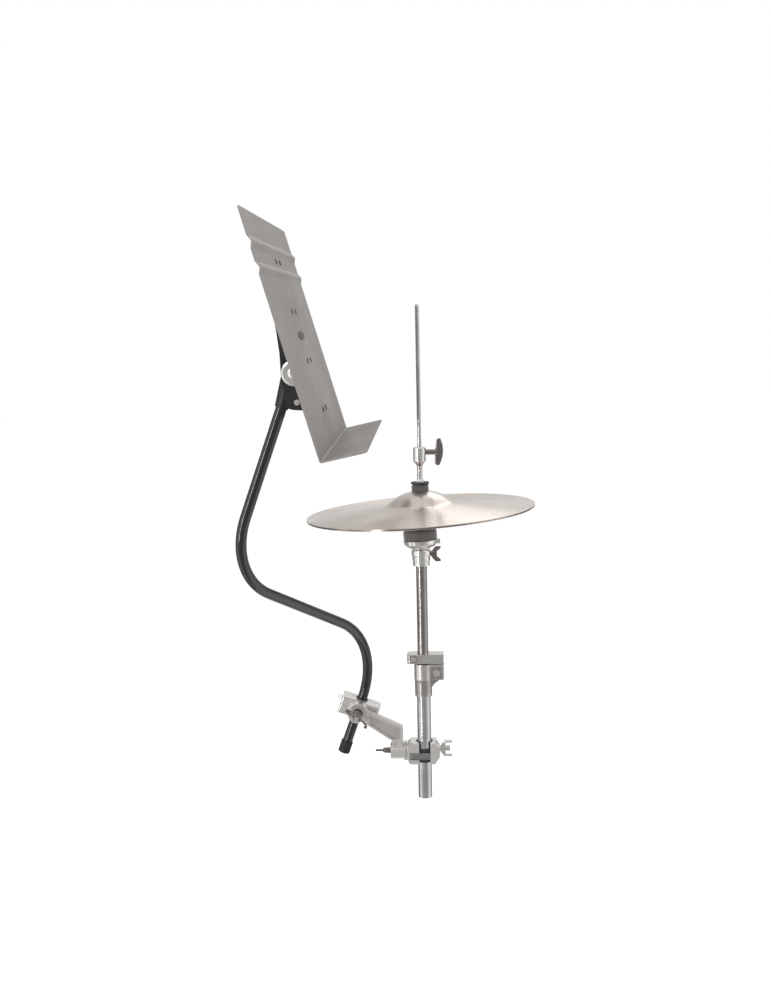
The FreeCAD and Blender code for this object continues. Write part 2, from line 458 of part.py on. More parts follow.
def make_arm():
    """Toothed discs, the bent arm casting with its web, and the bolt that holds it."""
    disc_t, clear = 3.1, 0.4
    inner = JAW_LEFT - disc_t
    boss_start = inner - clear - disc_t
    node("ratchet_fixed", toothed_disc(inner, JAW_LEFT, -1))
    node("ratchet_arm", toothed_disc(boss_start, inner - clear, 1))
    boss = cyl(BOSS_R, boss_start - BOSS_END, Vec(BOSS_END, 0, ARM_AXIS_Z), X_AXIS)
    eye = Vec(HOLDER.x, 0, HOLDER.z)
    eye_r, front, back = 16.5, -12.0, 4.5
    web = plate_xz([(-51.0, 84), (-50.8, 94.8), (-91.0, 121.8), (eye.x, eye.z - 8), (eye.x + 4, eye.z + 10),
                    (-91.0, 144.0), (-34.0, 116.8), (-34.0, 84)], front, back)
    web = softened(web, 1.5, lambda edge: abs(edge.CenterOfMass.y - front) < 0.1)
    disc = cyl(eye_r, back - front, Vec(eye.x, front, eye.z), Y_AXIS)
    disc = softened(disc, 1.5, lambda edge: abs(edge.CenterOfMass.y - front) < 0.1)
    arm = fuse(boss, web, disc)
    pocket = plate_xz([(-56.0, 103.0), (-86.0, 123.0), (-86.0, 136.5), (-39.0, 114.0), (-39.0, 98.5), (-48, 98.5)],
                      front - 1, front + 2.2)
    arm = arm.cut(softened(pocket, 2.0, lambda edge: abs(edge.tangentAt(edge.FirstParameter).y) > 0.9))
    arm = arm.cut(cyl(8.4, 4.0, Vec(eye.x, front - 1, eye.z), Y_AXIS))
    arm = arm.cut(cyl(4.0 + RUN, 30, Vec(eye.x, front - 5, eye.z), Y_AXIS))
    arm = arm.cut(cyl(4.0 + RUN, 40, Vec(-60, 0, ARM_AXIS_Z), X_AXIS))
    node("arm", arm)
    shank = cyl(4.0, inner + 1 - BOSS_END + 6, Vec(BOSS_END - 6, 0, ARM_AXIS_Z), X_AXIS)
    nose = cyl(2.95, 12, Vec(inner, 0, ARM_AXIS_Z), X_AXIS)
    flat = Vec(0, math.cos(math.radians(17.5)), -math.sin(math.radians(17.5)))
    handle = wing_pair(30, 23.2, 3.2, 5.0, 12, Vec(BOSS_END - GAP, 0, ARM_AXIS_Z), X_AXIS * -1, flat)
    node("arm_wing_bolt", fuse(shank, nose, handle))


# ---------------------------------------------------------------- tube holder
def make_holder():
    """Two halves round the split bush, hinged at one end and closed by an eye bolt at the other."""
    half_w, low, high = 31.0, -14.0, 15.0
    front, rear = 6.0 - HOLDER.y, 42.5 - HOLDER.y
    bush_r, split = 9.6, 0.5
    bore = cyl(bush_r + RUN, 60, Vec(0, 0, -30))
    front_half = block((-half_w, front, low), (half_w, -split, high))
    front_half = softened(front_half, 3.0, lambda edge: abs(edge.CenterOfMass.y - front) < 0.1)
    rear_half = block((-half_w, split, low), (half_w, rear, high))
    rear_half = softened(rear_half, 3.0, lambda edge: abs(edge.CenterOfMass.y - rear) < 0.1)
    hinge_x, eye_x = 28.0, -24.5
    middle = (low + high) / 2
    front_low = cyl(4.2, middle - low, Vec(hinge_x, 0, low))
    rear_high = cyl(4.2, high - middle, Vec(hinge_x, 0, middle))
    clear = 4.6
    front_half = fuse(front_half.cut(cyl(clear, 40, Vec(hinge_x, 0, middle))), front_low)
    rear_half = fuse(rear_half.cut(cyl(clear, 40, Vec(hinge_x, 0, middle - 40))), rear_high)
    pin_hole = cyl(1.75, 60, Vec(hinge_x, 0, -30))
    slot = block((-half_w - 1, front + 4, -4.2), (eye_x + 4.2, rear + 1, 4.2))
    eye_pin_y = -10.0
    eye_pin_hole = cyl(1.75, 60, Vec(eye_x, eye_pin_y, -30))
    swivel_hole = cyl(4.0, 30, Vec(0, front - 1, 0), Y_AXIS)
    front_half = front_half.cut(bore).cut(pin_hole).cut(slot).cut(eye_pin_hole).cut(swivel_hole)
    rear_half = rear_half.cut(bore).cut(pin_hole).cut(slot)
    node("holder_front", in_holder(front_half))
    node("holder_rear", in_holder(rear_half))
    node("holder_hinge_pin", in_holder(cyl(1.75, high - low, Vec(hinge_x, 0, low))))
    eye = cyl(4.0, 7.6, Vec(eye_x, eye_pin_y, -3.8))
    eye_pin = cyl(1.75, high - low - 2, Vec(eye_x, eye_pin_y, low + 1))
    shank = cyl(2.5, rear + 9.5 - eye_pin_y, Vec(eye_x, eye_pin_y, 0), Y_AXIS)
    node("holder_eye_bolt", in_holder(fuse(eye, eye_pin, shank)))
    small = wing_pair(31, 13, 3.6, 5.4, 8.0, Vec(eye_x, rear + GAP, 0), Y_AXIS, X_AXIS)
    node("holder_wing_nut", in_holder(small.cut(cyl(2.5 + RUN, 40, Vec(eye_x, rear - 5, 0), Y_AXIS))))

    bolt_front = -44.0 - HOLDER.y
    bolt = cyl(4.0, front + 4.5 - bolt_front, Vec(0, bolt_front, 0), Y_AXIS)
    node("swivel_bolt", in_holder(bolt))
    nut_y = -12.0 + 3.0 - GAP - HOLDER.y
    slant = Vec(math.cos(math.radians(22)), 0, -math.sin(math.radians(22)))
    nut = wing_pair(43, 33, 5.0, 7.0, 30.0, Vec(0, nut_y, 0), Y_AXIS * -1, slant, 17.0)
    node("swivel_wing_nut", in_holder(nut.cut(cyl(4.0 + RUN, 60, Vec(0, nut_y - 50, 0), Y_AXIS))))
    bush = ring(bush_r, S_TUBE_R + RUN, high - low + 3, Vec(0, 0, low - 1.5))
    node("split_bush", in_holder(bush.cut(block((-0.8, 0, low - 5), (0.8, 20, high + 5)))))


# ---------------------------------------------------------------- S tube and desk head
def s_tube_points():
    """Ends, tangent points and mid-arc points of the S centreline, from foot to head."""
    turn = math.radians(BEND_TURN)

    def at(u, v):
        return TUBE_BASE + BEND_SIDE * u + TUBE_AXIS * v

    rise = 1 - math.cos(turn)
    run_len = (END_OFFSET - (BEND_R_LOW + BEND_R_HIGH) * rise) / math.sin(turn)
    first = (0.0, BEND_V)
    low_mid = (BEND_R_LOW * (1 - math.cos(turn / 2)), BEND_V + BEND_R_LOW * math.sin(turn / 2))
    low_end = (BEND_R_LOW * rise, BEND_V + BEND_R_LOW * math.sin(turn))
    high_start = (low_end[0] + run_len * math.sin(turn), low_end[1] + run_len * math.cos(turn))
    high_end = (END_OFFSET, high_start[1] + BEND_R_HIGH * math.sin(turn))
    high_mid = (END_OFFSET - BEND_R_HIGH * (1 - math.cos(turn / 2)),
                high_end[1] - BEND_R_HIGH * math.sin(turn / 2))
    return [at(*p) for p in (first, low_mid, low_end, high_start, high_mid, high_end)]


def make_s_tube():
    """The bent tube, its rubber end cap and the socket that carries the desk."""
    first, low_mid, low_end, high_start, high_mid, high_end = s_tube_points()
    foot, top = TUBE_BASE + TUBE_AXIS * LOW_END_V, HEAD + TUBE_AXIS * TOP_END_V
    path = Part.Wire([Part.LineSegment(foot, first).toShape(), Part.Arc(first, low_mid, low_end).toShape(),
                      Part.LineSegment(low_end, high_start).toShape(),
                      Part.Arc(high_start, high_mid, high_end).toShape(), Part.LineSegment(high_end, top).toShape()])
    outer, inner = (path.makePipeShell([Part.Wire(Part.makeCircle(radius, foot, TUBE_AXIS))], True, True)
                    for radius in (S_TUBE_R, S_TUBE_R - 1.5))
    node("s_tube", outer.cut(inner))
    cap_len, cap_r = 20.0, S_TUBE_R + 1.5
    cap = softened(cyl(cap_r, cap_len, foot - TUBE_AXIS * 3, TUBE_AXIS), 2.2,
                   lambda edge: (edge.CenterOfMass - foot).dot(TUBE_AXIS) < 0)
    node("tube_end_cap", cap.cut(cyl(S_TUBE_R, cap_len, foot, TUBE_AXIS)))

    base = HEAD + TUBE_AXIS * SOCKET_BOTTOM_V
    height = PIVOT_V - SOCKET_BOTTOM_V
    cone = lathe([(0, 0), (S_TUBE_R + 1.9, 0), (S_TUBE_R + 1.9, 2), (14.0, height - 14), (14.0, height), (0, height)],
                 base, TUBE_AXIS)
    half_barrel = CHEEK_Y - CHEEK_T - GAP
    barrel = cyl(17.5, 2 * half_barrel, PIVOT - DESK_SIDE * half_barrel, DESK_SIDE)
    socket = fuse(cone, barrel).cut(cyl(S_TUBE_R, TOP_END_V - SOCKET_BOTTOM_V + 1, base - TUBE_AXIS, TUBE_AXIS))
    node("tube_socket", socket.cut(cyl(4.0 + RUN, 80, PIVOT - DESK_SIDE * 40, DESK_SIDE)))


def make_desk_bracket():
    """Spine with two cheeks behind the panel, pivot bolt, nut, pressure discs and stop screw."""
    pivot_x, pivot_up = -PIVOT_BEHIND, PIVOT_ABOVE
    back = -SHEET_T
    profile = [(back, 47.0), (-40.0, 61.5), (-45.5, 65.5), (-46.5, 72.0), (-41.5, 108.0), (-33.5, 140.0),
               (-28.2, 172.0), (-24.0, 205.0), (-14.0, 268.0), (-9.0, 274.0), (back, 274.0)]
    cheeks = []
    for side in (-1, 1):
        inner, outer = side * (CHEEK_Y - CHEEK_T), side * CHEEK_Y
        cheek = plate_xz(profile, min(inner, outer), max(inner, outer))
        tabs = [block((back - 1, min(inner, outer), up - 3.5), (1.0, max(inner, outer), up + 3.5))
                for up in TAB_HEIGHTS]
        cheeks.append(fuse(cheek, *tabs))
    spine = block((back - 2.0, -CHEEK_Y, 47.0), (back, CHEEK_Y, 274.0))
    spine = spine.cut(cyl(19.5, 100, Vec(pivot_x, -50, pivot_up), Y_AXIS))
    bracket = fuse(spine, *cheeks)
    bracket = bracket.cut(cyl(4.0 + RUN, 100, Vec(pivot_x, -50, pivot_up), Y_AXIS))
    stop_x, stop_up = -31.0, 69.5
    bracket = bracket.cut(cyl(2.5, 100, Vec(stop_x, -50, stop_up), Y_AXIS))
    node("desk_bracket", in_desk(bracket))

    for name, side in (("pivot_disc_near", -1), ("pivot_disc_far", 1)):
        disc = lathe([(4.0 + RUN, 0), (17.8, 0), (17.8, 1.8), (15.4, 3.2), (4.0 + RUN, 3.2)])
        disc = disc.transformed(FreeCAD.Placement(Vec(pivot_x, side * CHEEK_Y, pivot_up),
                                                  FreeCAD.Rotation(Z_AXIS, Y_AXIS * side)).Matrix)
        node(name, in_desk(disc))
    reach = CHEEK_Y + 3.2
    bolt = fuse(cyl(4.0, 2 * reach + 9, Vec(pivot_x, -reach, pivot_up), Y_AXIS),
                lathe([(0, 0), (9.0, 0), (8.0, 3.2), (5.0, 4.8), (0, 5.2)], Vec(pivot_x, -reach, pivot_up), Y_AXIS * -1))
    node("pivot_bolt", in_desk(fuse(bolt, hexagon(13, 7.5, Vec(pivot_x, reach, pivot_up), Y_AXIS))))
    stop = fuse(cyl(2.5, 2 * CHEEK_Y + 7, Vec(stop_x, -CHEEK_Y - 0.5, stop_up), Y_AXIS),
                lathe([(0, 0), (4.6, 0), (4.0, 2.2), (0, 2.8)], Vec(stop_x, -CHEEK_Y, stop_up), Y_AXIS * -1),
                hexagon(8, 4, Vec(stop_x, CHEEK_Y, stop_up), Y_AXIS))
    node("stop_screw", in_desk(stop))


def desk_sheet():
    """Folded sheet in its own frame: the panel with two pressed beads, the rounded fold and the lip."""
    bead_h, bead_half, fold_r = 3.0, 8.0, 1.8
    rise = math.radians(LIP_RISE)
    lip_dir = Vec(math.cos(rise), 0, -math.sin(rise))
    lip_up = Vec(math.sin(rise), 0, math.cos(rise))
    centre = Vec(fold_r, 0, fold_r * (1 - math.sin(rise)) / math.cos(rise))
    inward = (X_AXIS + lip_up).normalize() * -1
    front = [(0.0, DESK_H)]
    for drop in (44.0, 76.0):
        crest = DESK_H - drop
        front += [(0.0, crest + bead_half), (bead_h, crest + 1.2), (bead_h, crest - 1.2), (0.0, crest - bead_half)]
    front = [Vec(x, 0, up) for x, up in front] + [Vec(0, 0, centre.z)]
    back = [point - X_AXIS * SHEET_T for point in reversed(front)]
    lip_top = [centre - lip_up * fold_r, lip_dir * LIP_DEPTH]
    lip_low = [lip_top[1] - lip_up * SHEET_T, lip_top[0] - lip_up * SHEET_T]
    fold_out = fold_r + SHEET_T
    edges = [Part.makePolygon(front), Part.Arc(front[-1], centre + inward * fold_r, lip_top[0]).toShape(),
             Part.makePolygon(lip_top + lip_low),
             Part.Arc(lip_low[-1], centre + inward * fold_out, back[0]).toShape(),
             Part.makePolygon(back + [front[0]])]
    outline = Part.Wire([edge for piece in edges for edge in piece.Edges])
    outline.translate(Vec(0, -DESK_W / 2, 0))
    sheet = Part.Face(outline).extrude(Vec(0, DESK_W, 0))
    corner_top, corner_lip = 5.0, 10.0
    sheet = softened(sheet, corner_lip, lambda edge: edge.Length < SHEET_T + 0.2
                     and edge.CenterOfMass.x > LIP_DEPTH - 3)
    return softened(sheet, corner_top, lambda edge: edge.Length < SHEET_T + 0.2
                    and edge.CenterOfMass.z > DESK_H - 1)


def make_desk():
    """Panel with slots for the bracket's tabs, and the plain oval badge."""
    sheet = desk_sheet()
    for side in (-1, 1):
        for up in TAB_HEIGHTS:
            low_y = min(side * CHEEK_Y, side * (CHEEK_Y - CHEEK_T))
            sheet = sheet.cut(block((-5, low_y, up - 3.5), (5, low_y + CHEEK_T, up + 3.5)))
    node("desk_panel", in_desk(sheet))
    badge = Part.makeCylinder(6.0, 0.8, Vec(0, 0, 0), X_AXIS)
    stretch = FreeCAD.Matrix()
    stretch.scale(1.0, 6.0, 1.0)
    badge = badge.transformGeometry(stretch)
    badge.translate(Vec(0, 0, 154.5))
    node("desk_badge", in_desk(badge))


def main():
    """Build every piece, check it and write its file."""
    for build in (make_tubes, make_height_clamp, make_memory_lock, make_rod, make_seat, make_cymbals,
                  make_clutch, make_multi_clamp, make_arm, make_holder, make_s_tube, make_desk_bracket, make_desk):
        build()
    for name, shape in NODES.items():
        solids = shape.Solids
        if len(solids) != 1 or not shape.isValid():
            print("CHECK", name, "solids", len(solids), "valid", shape.isValid())
        solids[0].exportStep("parts/" + name + ".step")
    print(len(NODES), "nodes written")


main()
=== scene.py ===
"""Finishes, fine pieces, studio and camera for a hi-hat stand top with a clamped music desk."""
import json
import logging
import math
from dataclasses import dataclass, field
from enum import Enum
from typing import Iterable, Optional, Sequence

import bmesh
import bpy
from mathutils import Matrix, Vector, noise


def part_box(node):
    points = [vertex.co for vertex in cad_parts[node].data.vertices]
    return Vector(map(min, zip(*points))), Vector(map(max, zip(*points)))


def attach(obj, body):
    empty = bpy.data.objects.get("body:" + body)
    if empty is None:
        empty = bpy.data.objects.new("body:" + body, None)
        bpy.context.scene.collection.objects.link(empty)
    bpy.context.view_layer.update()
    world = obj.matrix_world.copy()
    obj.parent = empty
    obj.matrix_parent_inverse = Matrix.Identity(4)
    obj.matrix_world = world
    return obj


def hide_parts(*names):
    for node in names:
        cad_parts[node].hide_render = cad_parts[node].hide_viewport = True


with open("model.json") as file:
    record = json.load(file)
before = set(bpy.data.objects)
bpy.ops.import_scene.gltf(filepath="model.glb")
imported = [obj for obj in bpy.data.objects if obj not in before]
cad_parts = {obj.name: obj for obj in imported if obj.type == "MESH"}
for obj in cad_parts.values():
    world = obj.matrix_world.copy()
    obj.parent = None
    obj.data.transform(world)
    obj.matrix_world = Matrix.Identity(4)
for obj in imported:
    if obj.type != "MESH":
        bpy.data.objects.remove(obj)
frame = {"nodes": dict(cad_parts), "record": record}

LOG = logging.getLogger("hi_hat")
MM = 0.001
Colour = tuple[float, float, float]


# ---------------------------------------------------------------- shader helpers
class Shader:
    """A node material under construction, with short calls for the nodes that the finishes share."""

    def __init__(self, name: str) -> None:
        """Start an empty material with a principled shader and object coordinates.

        Args:
            name: The material's name.
        """
        self.material = bpy.data.materials.new(name)
        self.material.use_nodes = True
        self.tree = self.material.node_tree
        self.tree.nodes.clear()
        self.output = self.tree.nodes.new("ShaderNodeOutputMaterial")
        self.surface = self.tree.nodes.new("ShaderNodeBsdfPrincipled")
        self.link(self.surface.outputs["BSDF"], self.output.inputs["Surface"])
        self.place = self.tree.nodes.new("ShaderNodeTexCoord").outputs["Object"]

    def link(self, source: bpy.types.NodeSocket, target: bpy.types.NodeSocket) -> None:
        """Join two sockets."""
        self.tree.links.new(source, target)

    def set(self, **values: object) -> None:
        """Set constants on the principled shader.

        Args:
            values: Socket names, with underscores for spaces, and their values.
        """
        for name, value in values.items():
            socket = self.surface.inputs[name.replace("_", " ")]
            socket.default_value = (*value, 1.0) if isinstance(value, tuple) and len(value) == 3 else value

    def mapped(self, scale: Sequence[float], turn: Sequence[float] = (0, 0, 0),
               move: Sequence[float] = (0, 0, 0)) -> bpy.types.NodeSocket:
        """Object coordinates moved, turned and scaled.

        Args:
            scale: Scale along each axis.
            turn: Euler rotation in radians.
            move: Location of the mapping in metres.

        Returns:
            The vector socket.
        """
        node = self.tree.nodes.new("ShaderNodeMapping")
        node.inputs["Scale"].default_value = scale
        node.inputs["Rotation"].default_value = turn
        node.inputs["Location"].default_value = move
        self.link(self.place, node.inputs["Vector"])
        return node.outputs["Vector"]

    def noise(self, scale: float, detail: float = 3.0, rough: float = 0.55,
              vector: Optional[bpy.types.NodeSocket] = None) -> bpy.types.NodeSocket:
        """Noise texture value.

        Args:
            scale: Cells for each metre.
            detail: Octaves.
            rough: Weight of the fine octaves.
            vector: Coordinates, or the object's own.

        Returns:
            The value socket.
        """
        node = self.tree.nodes.new("ShaderNodeTexNoise")
        node.inputs["Scale"].default_value = scale
        node.inputs["Detail"].default_value = detail
        node.inputs["Roughness"].default_value = rough
        self.link(vector or self.place, node.inputs["Vector"])
        return node.outputs["Fac"]

    def math(self, operation: str, first: object, second: object = 0.0) -> bpy.types.NodeSocket:
        """One math node.

        Args:
            operation: The node's operation name.
            first: A socket or a number.
            second: A socket or a number.

        Returns:
            The value socket.
        """
        node = self.tree.nodes.new("ShaderNodeMath")
        node.operation = operation
        for socket, value in zip(node.inputs, (first, second)):
            if isinstance(value, (int, float)):
                socket.default_value = value
            else:
                self.link(value, socket)
        return node.outputs[0]

    def span(self, value: bpy.types.NodeSocket, low: float, high: float, low_in: float = 0.3,
             high_in: float = 0.7) -> bpy.types.NodeSocket:
        """Map a value's useful range on to low and high.

        Args:
            value: The socket to map.
            low: Result at low_in.
            high: Result at high_in.
            low_in: Value that gives low.
            high_in: Value that gives high.

        Returns:
            The value socket.
        """
        node = self.tree.nodes.new("ShaderNodeMapRange")
        for name, number in (("From Min", low_in), ("From Max", high_in), ("To Min", low), ("To Max", high)):
            node.inputs[name].default_value = number
        self.link(value, node.inputs["Value"])
        return node.outputs["Result"]

    def colours(self, value: bpy.types.NodeSocket, stops: Iterable[tuple[float, Colour]]) -> bpy.types.NodeSocket:
        """Colour ramp.

        Args:
            value: The socket that drives the ramp.
            stops: Positions and colours.

        Returns:
            The colour socket.
        """
        node = self.tree.nodes.new("ShaderNodeValToRGB")
        ramp = node.color_ramp
        stops = list(stops)
        while len(ramp.elements) < len(stops):
            ramp.elements.new(0.5)
        for element, (place, colour) in zip(ramp.elements, stops):
            element.position = place
            element.color = (*colour, 1.0)
        self.link(value, node.inputs["Fac"])
        return node.outputs["Color"]

    def bump(self, height: bpy.types.NodeSocket, depth: float, strength: float = 1.0,
             under: Optional[bpy.types.NodeSocket] = None) -> bpy.types.NodeSocket:
        """Bump node.

        Args:
            height: Height value from 0 to 1.
            depth: Height in metres that 1 stands for.
            strength: Share of the effect.
            under: Normal to build on.

        Returns:
            The normal socket.
        """
        node = self.tree.nodes.new("ShaderNodeBump")
        node.inputs["Distance"].default_value = depth
        node.inputs["Strength"].default_value = strength
        self.link(height, node.inputs["Height"])
        if under is not None:
            self.link(under, node.inputs["Normal"])
        return node.outputs["Normal"]

    def into(self, socket: str, source: bpy.types.NodeSocket) -> None:
        """Feed a socket of the principled shader."""
        self.link(source, self.surface.inputs[socket])

    def edge_wear(self) -> bpy.types.NodeSocket:
        """Value that rises at convex edges."""
        node = self.tree.nodes.new("ShaderNodeNewGeometry")
        return self.span(node.outputs["Pointiness"], 0.0, 1.0, 0.505, 0.56)


# ---------------------------------------------------------------- finishes
@dataclass(frozen=True)
class Chrome:
    """Polished plate with faint haze and finger marks."""

    tint: Colour = (0.70, 0.70, 0.71)
    gloss: float = 0.10

    def build(self, name: str) -> bpy.types.Material:
        """Make the material called name and return it."""
        shader = Shader(name)
        shader.set(Metallic=1.0)
        haze = shader.noise(38.0, 4.0)
        shader.into("Roughness", shader.span(haze, self.gloss * 0.7, self.gloss * 2.2))
        warm = tuple(channel * factor for channel, factor in zip(self.tint, (0.93, 0.90, 0.88)))
        shader.into("Base Color", shader.colours(haze, [(0.35, warm), (0.62, self.tint)]))
        return shader.material


@dataclass(frozen=True)
class CastNickel:
    """Tumbled die casting under satin plate, brighter where edges rub."""

    tint: Colour = (0.64, 0.605, 0.58)
    worn: Colour = (0.74, 0.72, 0.70)
    metal: float = 0.80

    def build(self, name: str) -> bpy.types.Material:
        """Make the material called name and return it."""
        shader = Shader(name)
        shader.set(Metallic=self.metal)
        grain = shader.noise(420.0, 5.0, 0.6)
        cloud = shader.noise(55.0, 3.0)
        shader.into("Roughness", shader.span(cloud, 0.24, 0.40))
        base = shader.colours(cloud, [(0.3, tuple(c * 0.86 for c in self.tint)), (0.7, self.tint)])
        mix = shader.tree.nodes.new("ShaderNodeMix")
        mix.data_type = "RGBA"
        shader.link(shader.edge_wear(), mix.inputs["Factor"])
        shader.link(base, mix.inputs[6])
        mix.inputs[7].default_value = (*self.worn, 1.0)
        shader.into("Base Color", mix.outputs[2])
        shader.into("Normal", shader.bump(grain, 0.00022, 0.30))
        return shader.material


@dataclass(frozen=True)
class LathedBronze:
    """Pale lathed cymbal bronze: turning marks round the stand's tilted axis."""

    tilt: float
    light: Colour = (0.80, 0.725, 0.68)
    dark: Colour = (0.60, 0.535, 0.50)

    def build(self, name: str) -> bpy.types.Material:
        """Make the material called name and return it."""
        shader = Shader(name)
        shader.set(Metallic=1.0, Anisotropic=0.8, Anisotropic_Rotation=0.25)
        level = shader.mapped((1, 1, 1), (0.0, self.tilt, 0.0))
        split = shader.tree.nodes.new("ShaderNodeSeparateXYZ")
        shader.link(level, split.inputs["Vector"])
        across = shader.math("POWER", split.outputs["X"], 2.0)
        through = shader.math("POWER", split.outputs["Y"], 2.0)
        radius = shader.math("SQRT", shader.math("ADD", across, through))
        fine = shader.math("SINE", shader.math("MULTIPLY", radius, 2 * math.pi / 0.0011))
        stretched = shader.tree.nodes.new("ShaderNodeCombineXYZ")
        shader.link(shader.math("MULTIPLY", radius, 900.0), stretched.inputs["X"])
        bands = shader.noise(1.0, 4.0, 0.7, stretched.outputs["Vector"])
        patina = shader.noise(11.0, 4.0, 0.6)
        tone = shader.math("ADD", shader.math("MULTIPLY", bands, 0.45), shader.math("MULTIPLY", patina, 0.55))
        shader.into("Base Color", shader.colours(tone, [(0.36, self.dark), (0.60, self.light)]))
        shader.into("Roughness", shader.span(tone, 0.36, 0.22))
        height = shader.math("ADD", shader.math("MULTIPLY", fine, 0.25), bands)
        shader.into("Normal", shader.bump(height, 0.00007, 0.5))
        tangent = shader.tree.nodes.new("ShaderNodeTangent")
        tangent.direction_type = "RADIAL"
        tangent.axis = "Z"
        shader.into("Tangent", tangent.outputs["Tangent"])
        return shader.material


@dataclass(frozen=True)
class Felt:
    """Pressed wool felt with loose fibres."""

    tint: Colour = (0.052, 0.047, 0.046)

    def build(self, name: str) -> bpy.types.Material:
        """Make the material called name and return it."""
        shader = Shader(name)
        shader.set(Roughness=0.96, Sheen_Weight=0.45, Sheen_Roughness=0.5, Specular_IOR_Level=0.15)
        fibre = shader.noise(700.0, 6.0, 0.75)
        clump = shader.noise(160.0, 3.0)
        pale = tuple(channel * 4.2 for channel in self.tint)
        shader.into("Base Color", shader.colours(fibre, [(0.42, self.tint), (0.66, pale)]))
        shader.into("Normal", shader.bump(fibre, 0.0006, 0.7, shader.bump(clump, 0.001, 0.5)))
        return shader.material


@dataclass(frozen=True)
class Moulded:
    """Black nylon or rubber with a fine moulded grain."""

    tint: Colour = (0.018, 0.018, 0.019)
    rough: float = 0.48

    def build(self, name: str) -> bpy.types.Material:
        """Make the material called name and return it."""
        shader = Shader(name)
        dust = shader.noise(60.0, 4.0)
        dusty = tuple(channel * 2.0 for channel in self.tint)
        shader.into("Base Color", shader.colours(dust, [(0.35, self.tint), (0.75, dusty)]))
        shader.into("Roughness", shader.span(dust, self.rough - 0.08, self.rough + 0.14))
        shader.into("Normal", shader.bump(shader.noise(1500.0, 2.0), 0.00006, 0.5))
        return shader.material


@dataclass(frozen=True)
class BlackPaint:
    """Black stove enamel, from glossy on the tube to satin on the bracket."""

    tint: Colour = (0.0022, 0.0018, 0.0018)
    rough: float = 0.12
    coat: float = 1.0

    def build(self, name: str) -> bpy.types.Material:
        """Make the material called name and return it."""
        shader = Shader(name)
        shader.set(Coat_Weight=self.coat, Coat_Roughness=0.06)
        film = shader.noise(70.0, 3.0)
        worn = tuple(channel * 1.9 for channel in self.tint)
        shader.into("Base Color", shader.colours(film, [(0.35, self.tint), (0.8, worn)]))
        shader.into("Roughness", shader.span(film, self.rough, self.rough * 1.9))
        shader.into("Normal", shader.bump(shader.noise(120.0, 2.0), 0.00002, 0.2))
        return shader.material


@dataclass(frozen=True)
class DeskEnamel:
    """Warm grey enamel on sheet steel: a fine speckle, faint rubbing down the panel, bare bright edges."""

    light: Colour = (0.186, 0.168, 0.161)
    dark: Colour = (0.128, 0.114, 0.109)
    bare: Colour = (0.26, 0.24, 0.23)

    def build(self, name: str) -> bpy.types.Material:
        """Make the material called name and return it."""
        shader = Shader(name)
        shader.set(Metallic=0.25, Specular_IOR_Level=0.4)
        speckle = shader.noise(650.0, 4.0, 0.85)
        rub = shader.noise(1.0, 5.0, 0.6, shader.mapped((26.0, 5.0, 8.0)))
        tone = shader.math("ADD", shader.math("MULTIPLY", speckle, 0.6), shader.math("MULTIPLY", rub, 0.4))
        base = shader.colours(tone, [(0.40, self.dark), (0.60, self.light)])
        mix = shader.tree.nodes.new("ShaderNodeMix")
        mix.data_type = "RGBA"
        shader.link(shader.edge_wear(), mix.inputs["Factor"])
        shader.link(base, mix.inputs[6])
        mix.inputs[7].default_value = (*self.bare, 1.0)
        shader.into("Base Color", mix.outputs[2])
        shader.into("Roughness", shader.span(rub, 0.38, 0.55))
        shader.into("Normal", shader.bump(speckle, 0.00012, 0.35))
        return shader.material


@dataclass(frozen=True)
class DrawnSteel:
    """Plain drawn steel with marks along one axis."""

    tint: Colour = (0.46, 0.45, 0.44)
    along: tuple[float, float, float] = (40.0, 900.0, 900.0)

    def build(self, name: str) -> bpy.types.Material:
        """Make the material called name and return it."""
        shader = Shader(name)
        shader.set(Metallic=1.0)
        marks = shader.noise(1.0, 4.0, 0.6, shader.mapped(self.along))
        dull = tuple(channel * 0.75 for channel in self.tint)
        shader.into("Base Color", shader.colours(marks, [(0.3, dull), (0.7, self.tint)]))
        shader.into("Roughness", shader.span(marks, 0.28, 0.46))
        shader.into("Normal", shader.bump(marks, 0.00005, 0.4))
        return shader.material


@dataclass(frozen=True)
class StudioPaper:
    """Pale seamless paper that polished metal does not mirror."""

    tint: Colour = (0.92, 0.92, 0.92)
    glow: float = 0.16

    def build(self, name: str) -> bpy.types.Material:
        """Make the material called name and return it."""
        shader = Shader(name)
        shader.set(Roughness=0.9, Base_Color=self.tint, Specular_IOR_Level=0.0, Emission_Color=(1.0, 1.0, 1.0),
                   Emission_Strength=self.glow)
        path = shader.tree.nodes.new("ShaderNodeLightPath")
        clear = shader.tree.nodes.new("ShaderNodeBsdfTransparent")
        mix = shader.tree.nodes.new("ShaderNodeMixShader")
        shader.link(path.outputs["Is Glossy Ray"], mix.inputs["Fac"])
        shader.link(shader.surface.outputs["BSDF"], mix.inputs[1])
        shader.link(clear.outputs["BSDF"], mix.inputs[2])
        shader.link(mix.outputs["Shader"], shader.output.inputs["Surface"])
        return shader.material


class Finish(Enum):
    """Every finish of the object, by the maker's name for it, with two darker copies that paint shade on the upper
    tube, height clamp and memory lock.
    """

    CHROME = "polished_chrome"
    BRIGHT_CHROME = "bright_chrome"
    # Darker copy of the plain chrome for the upper tube: painted shade, not a different plating.
    SHADED_CHROME = "chrome_painted_shade"
    BLACK_CHROME = "black_chrome"
    CASTING = "satin_casting"
    # Darker copy of the satin casting for the height clamp and memory lock: painted shade, not a different plating.
    SHADED_CASTING = "casting_painted_shade"
    BRONZE = "lathed_bronze"
    FELT = "dark_felt"
    NYLON = "black_nylon"
    RUBBER = "black_rubber"
    GLOSS_BLACK = "gloss_black_tube"
    SATIN_BLACK = "satin_black_bracket"
    ENAMEL = "grey_desk_enamel"
    BADGE = "dark_badge"
    STEEL = "drawn_steel"


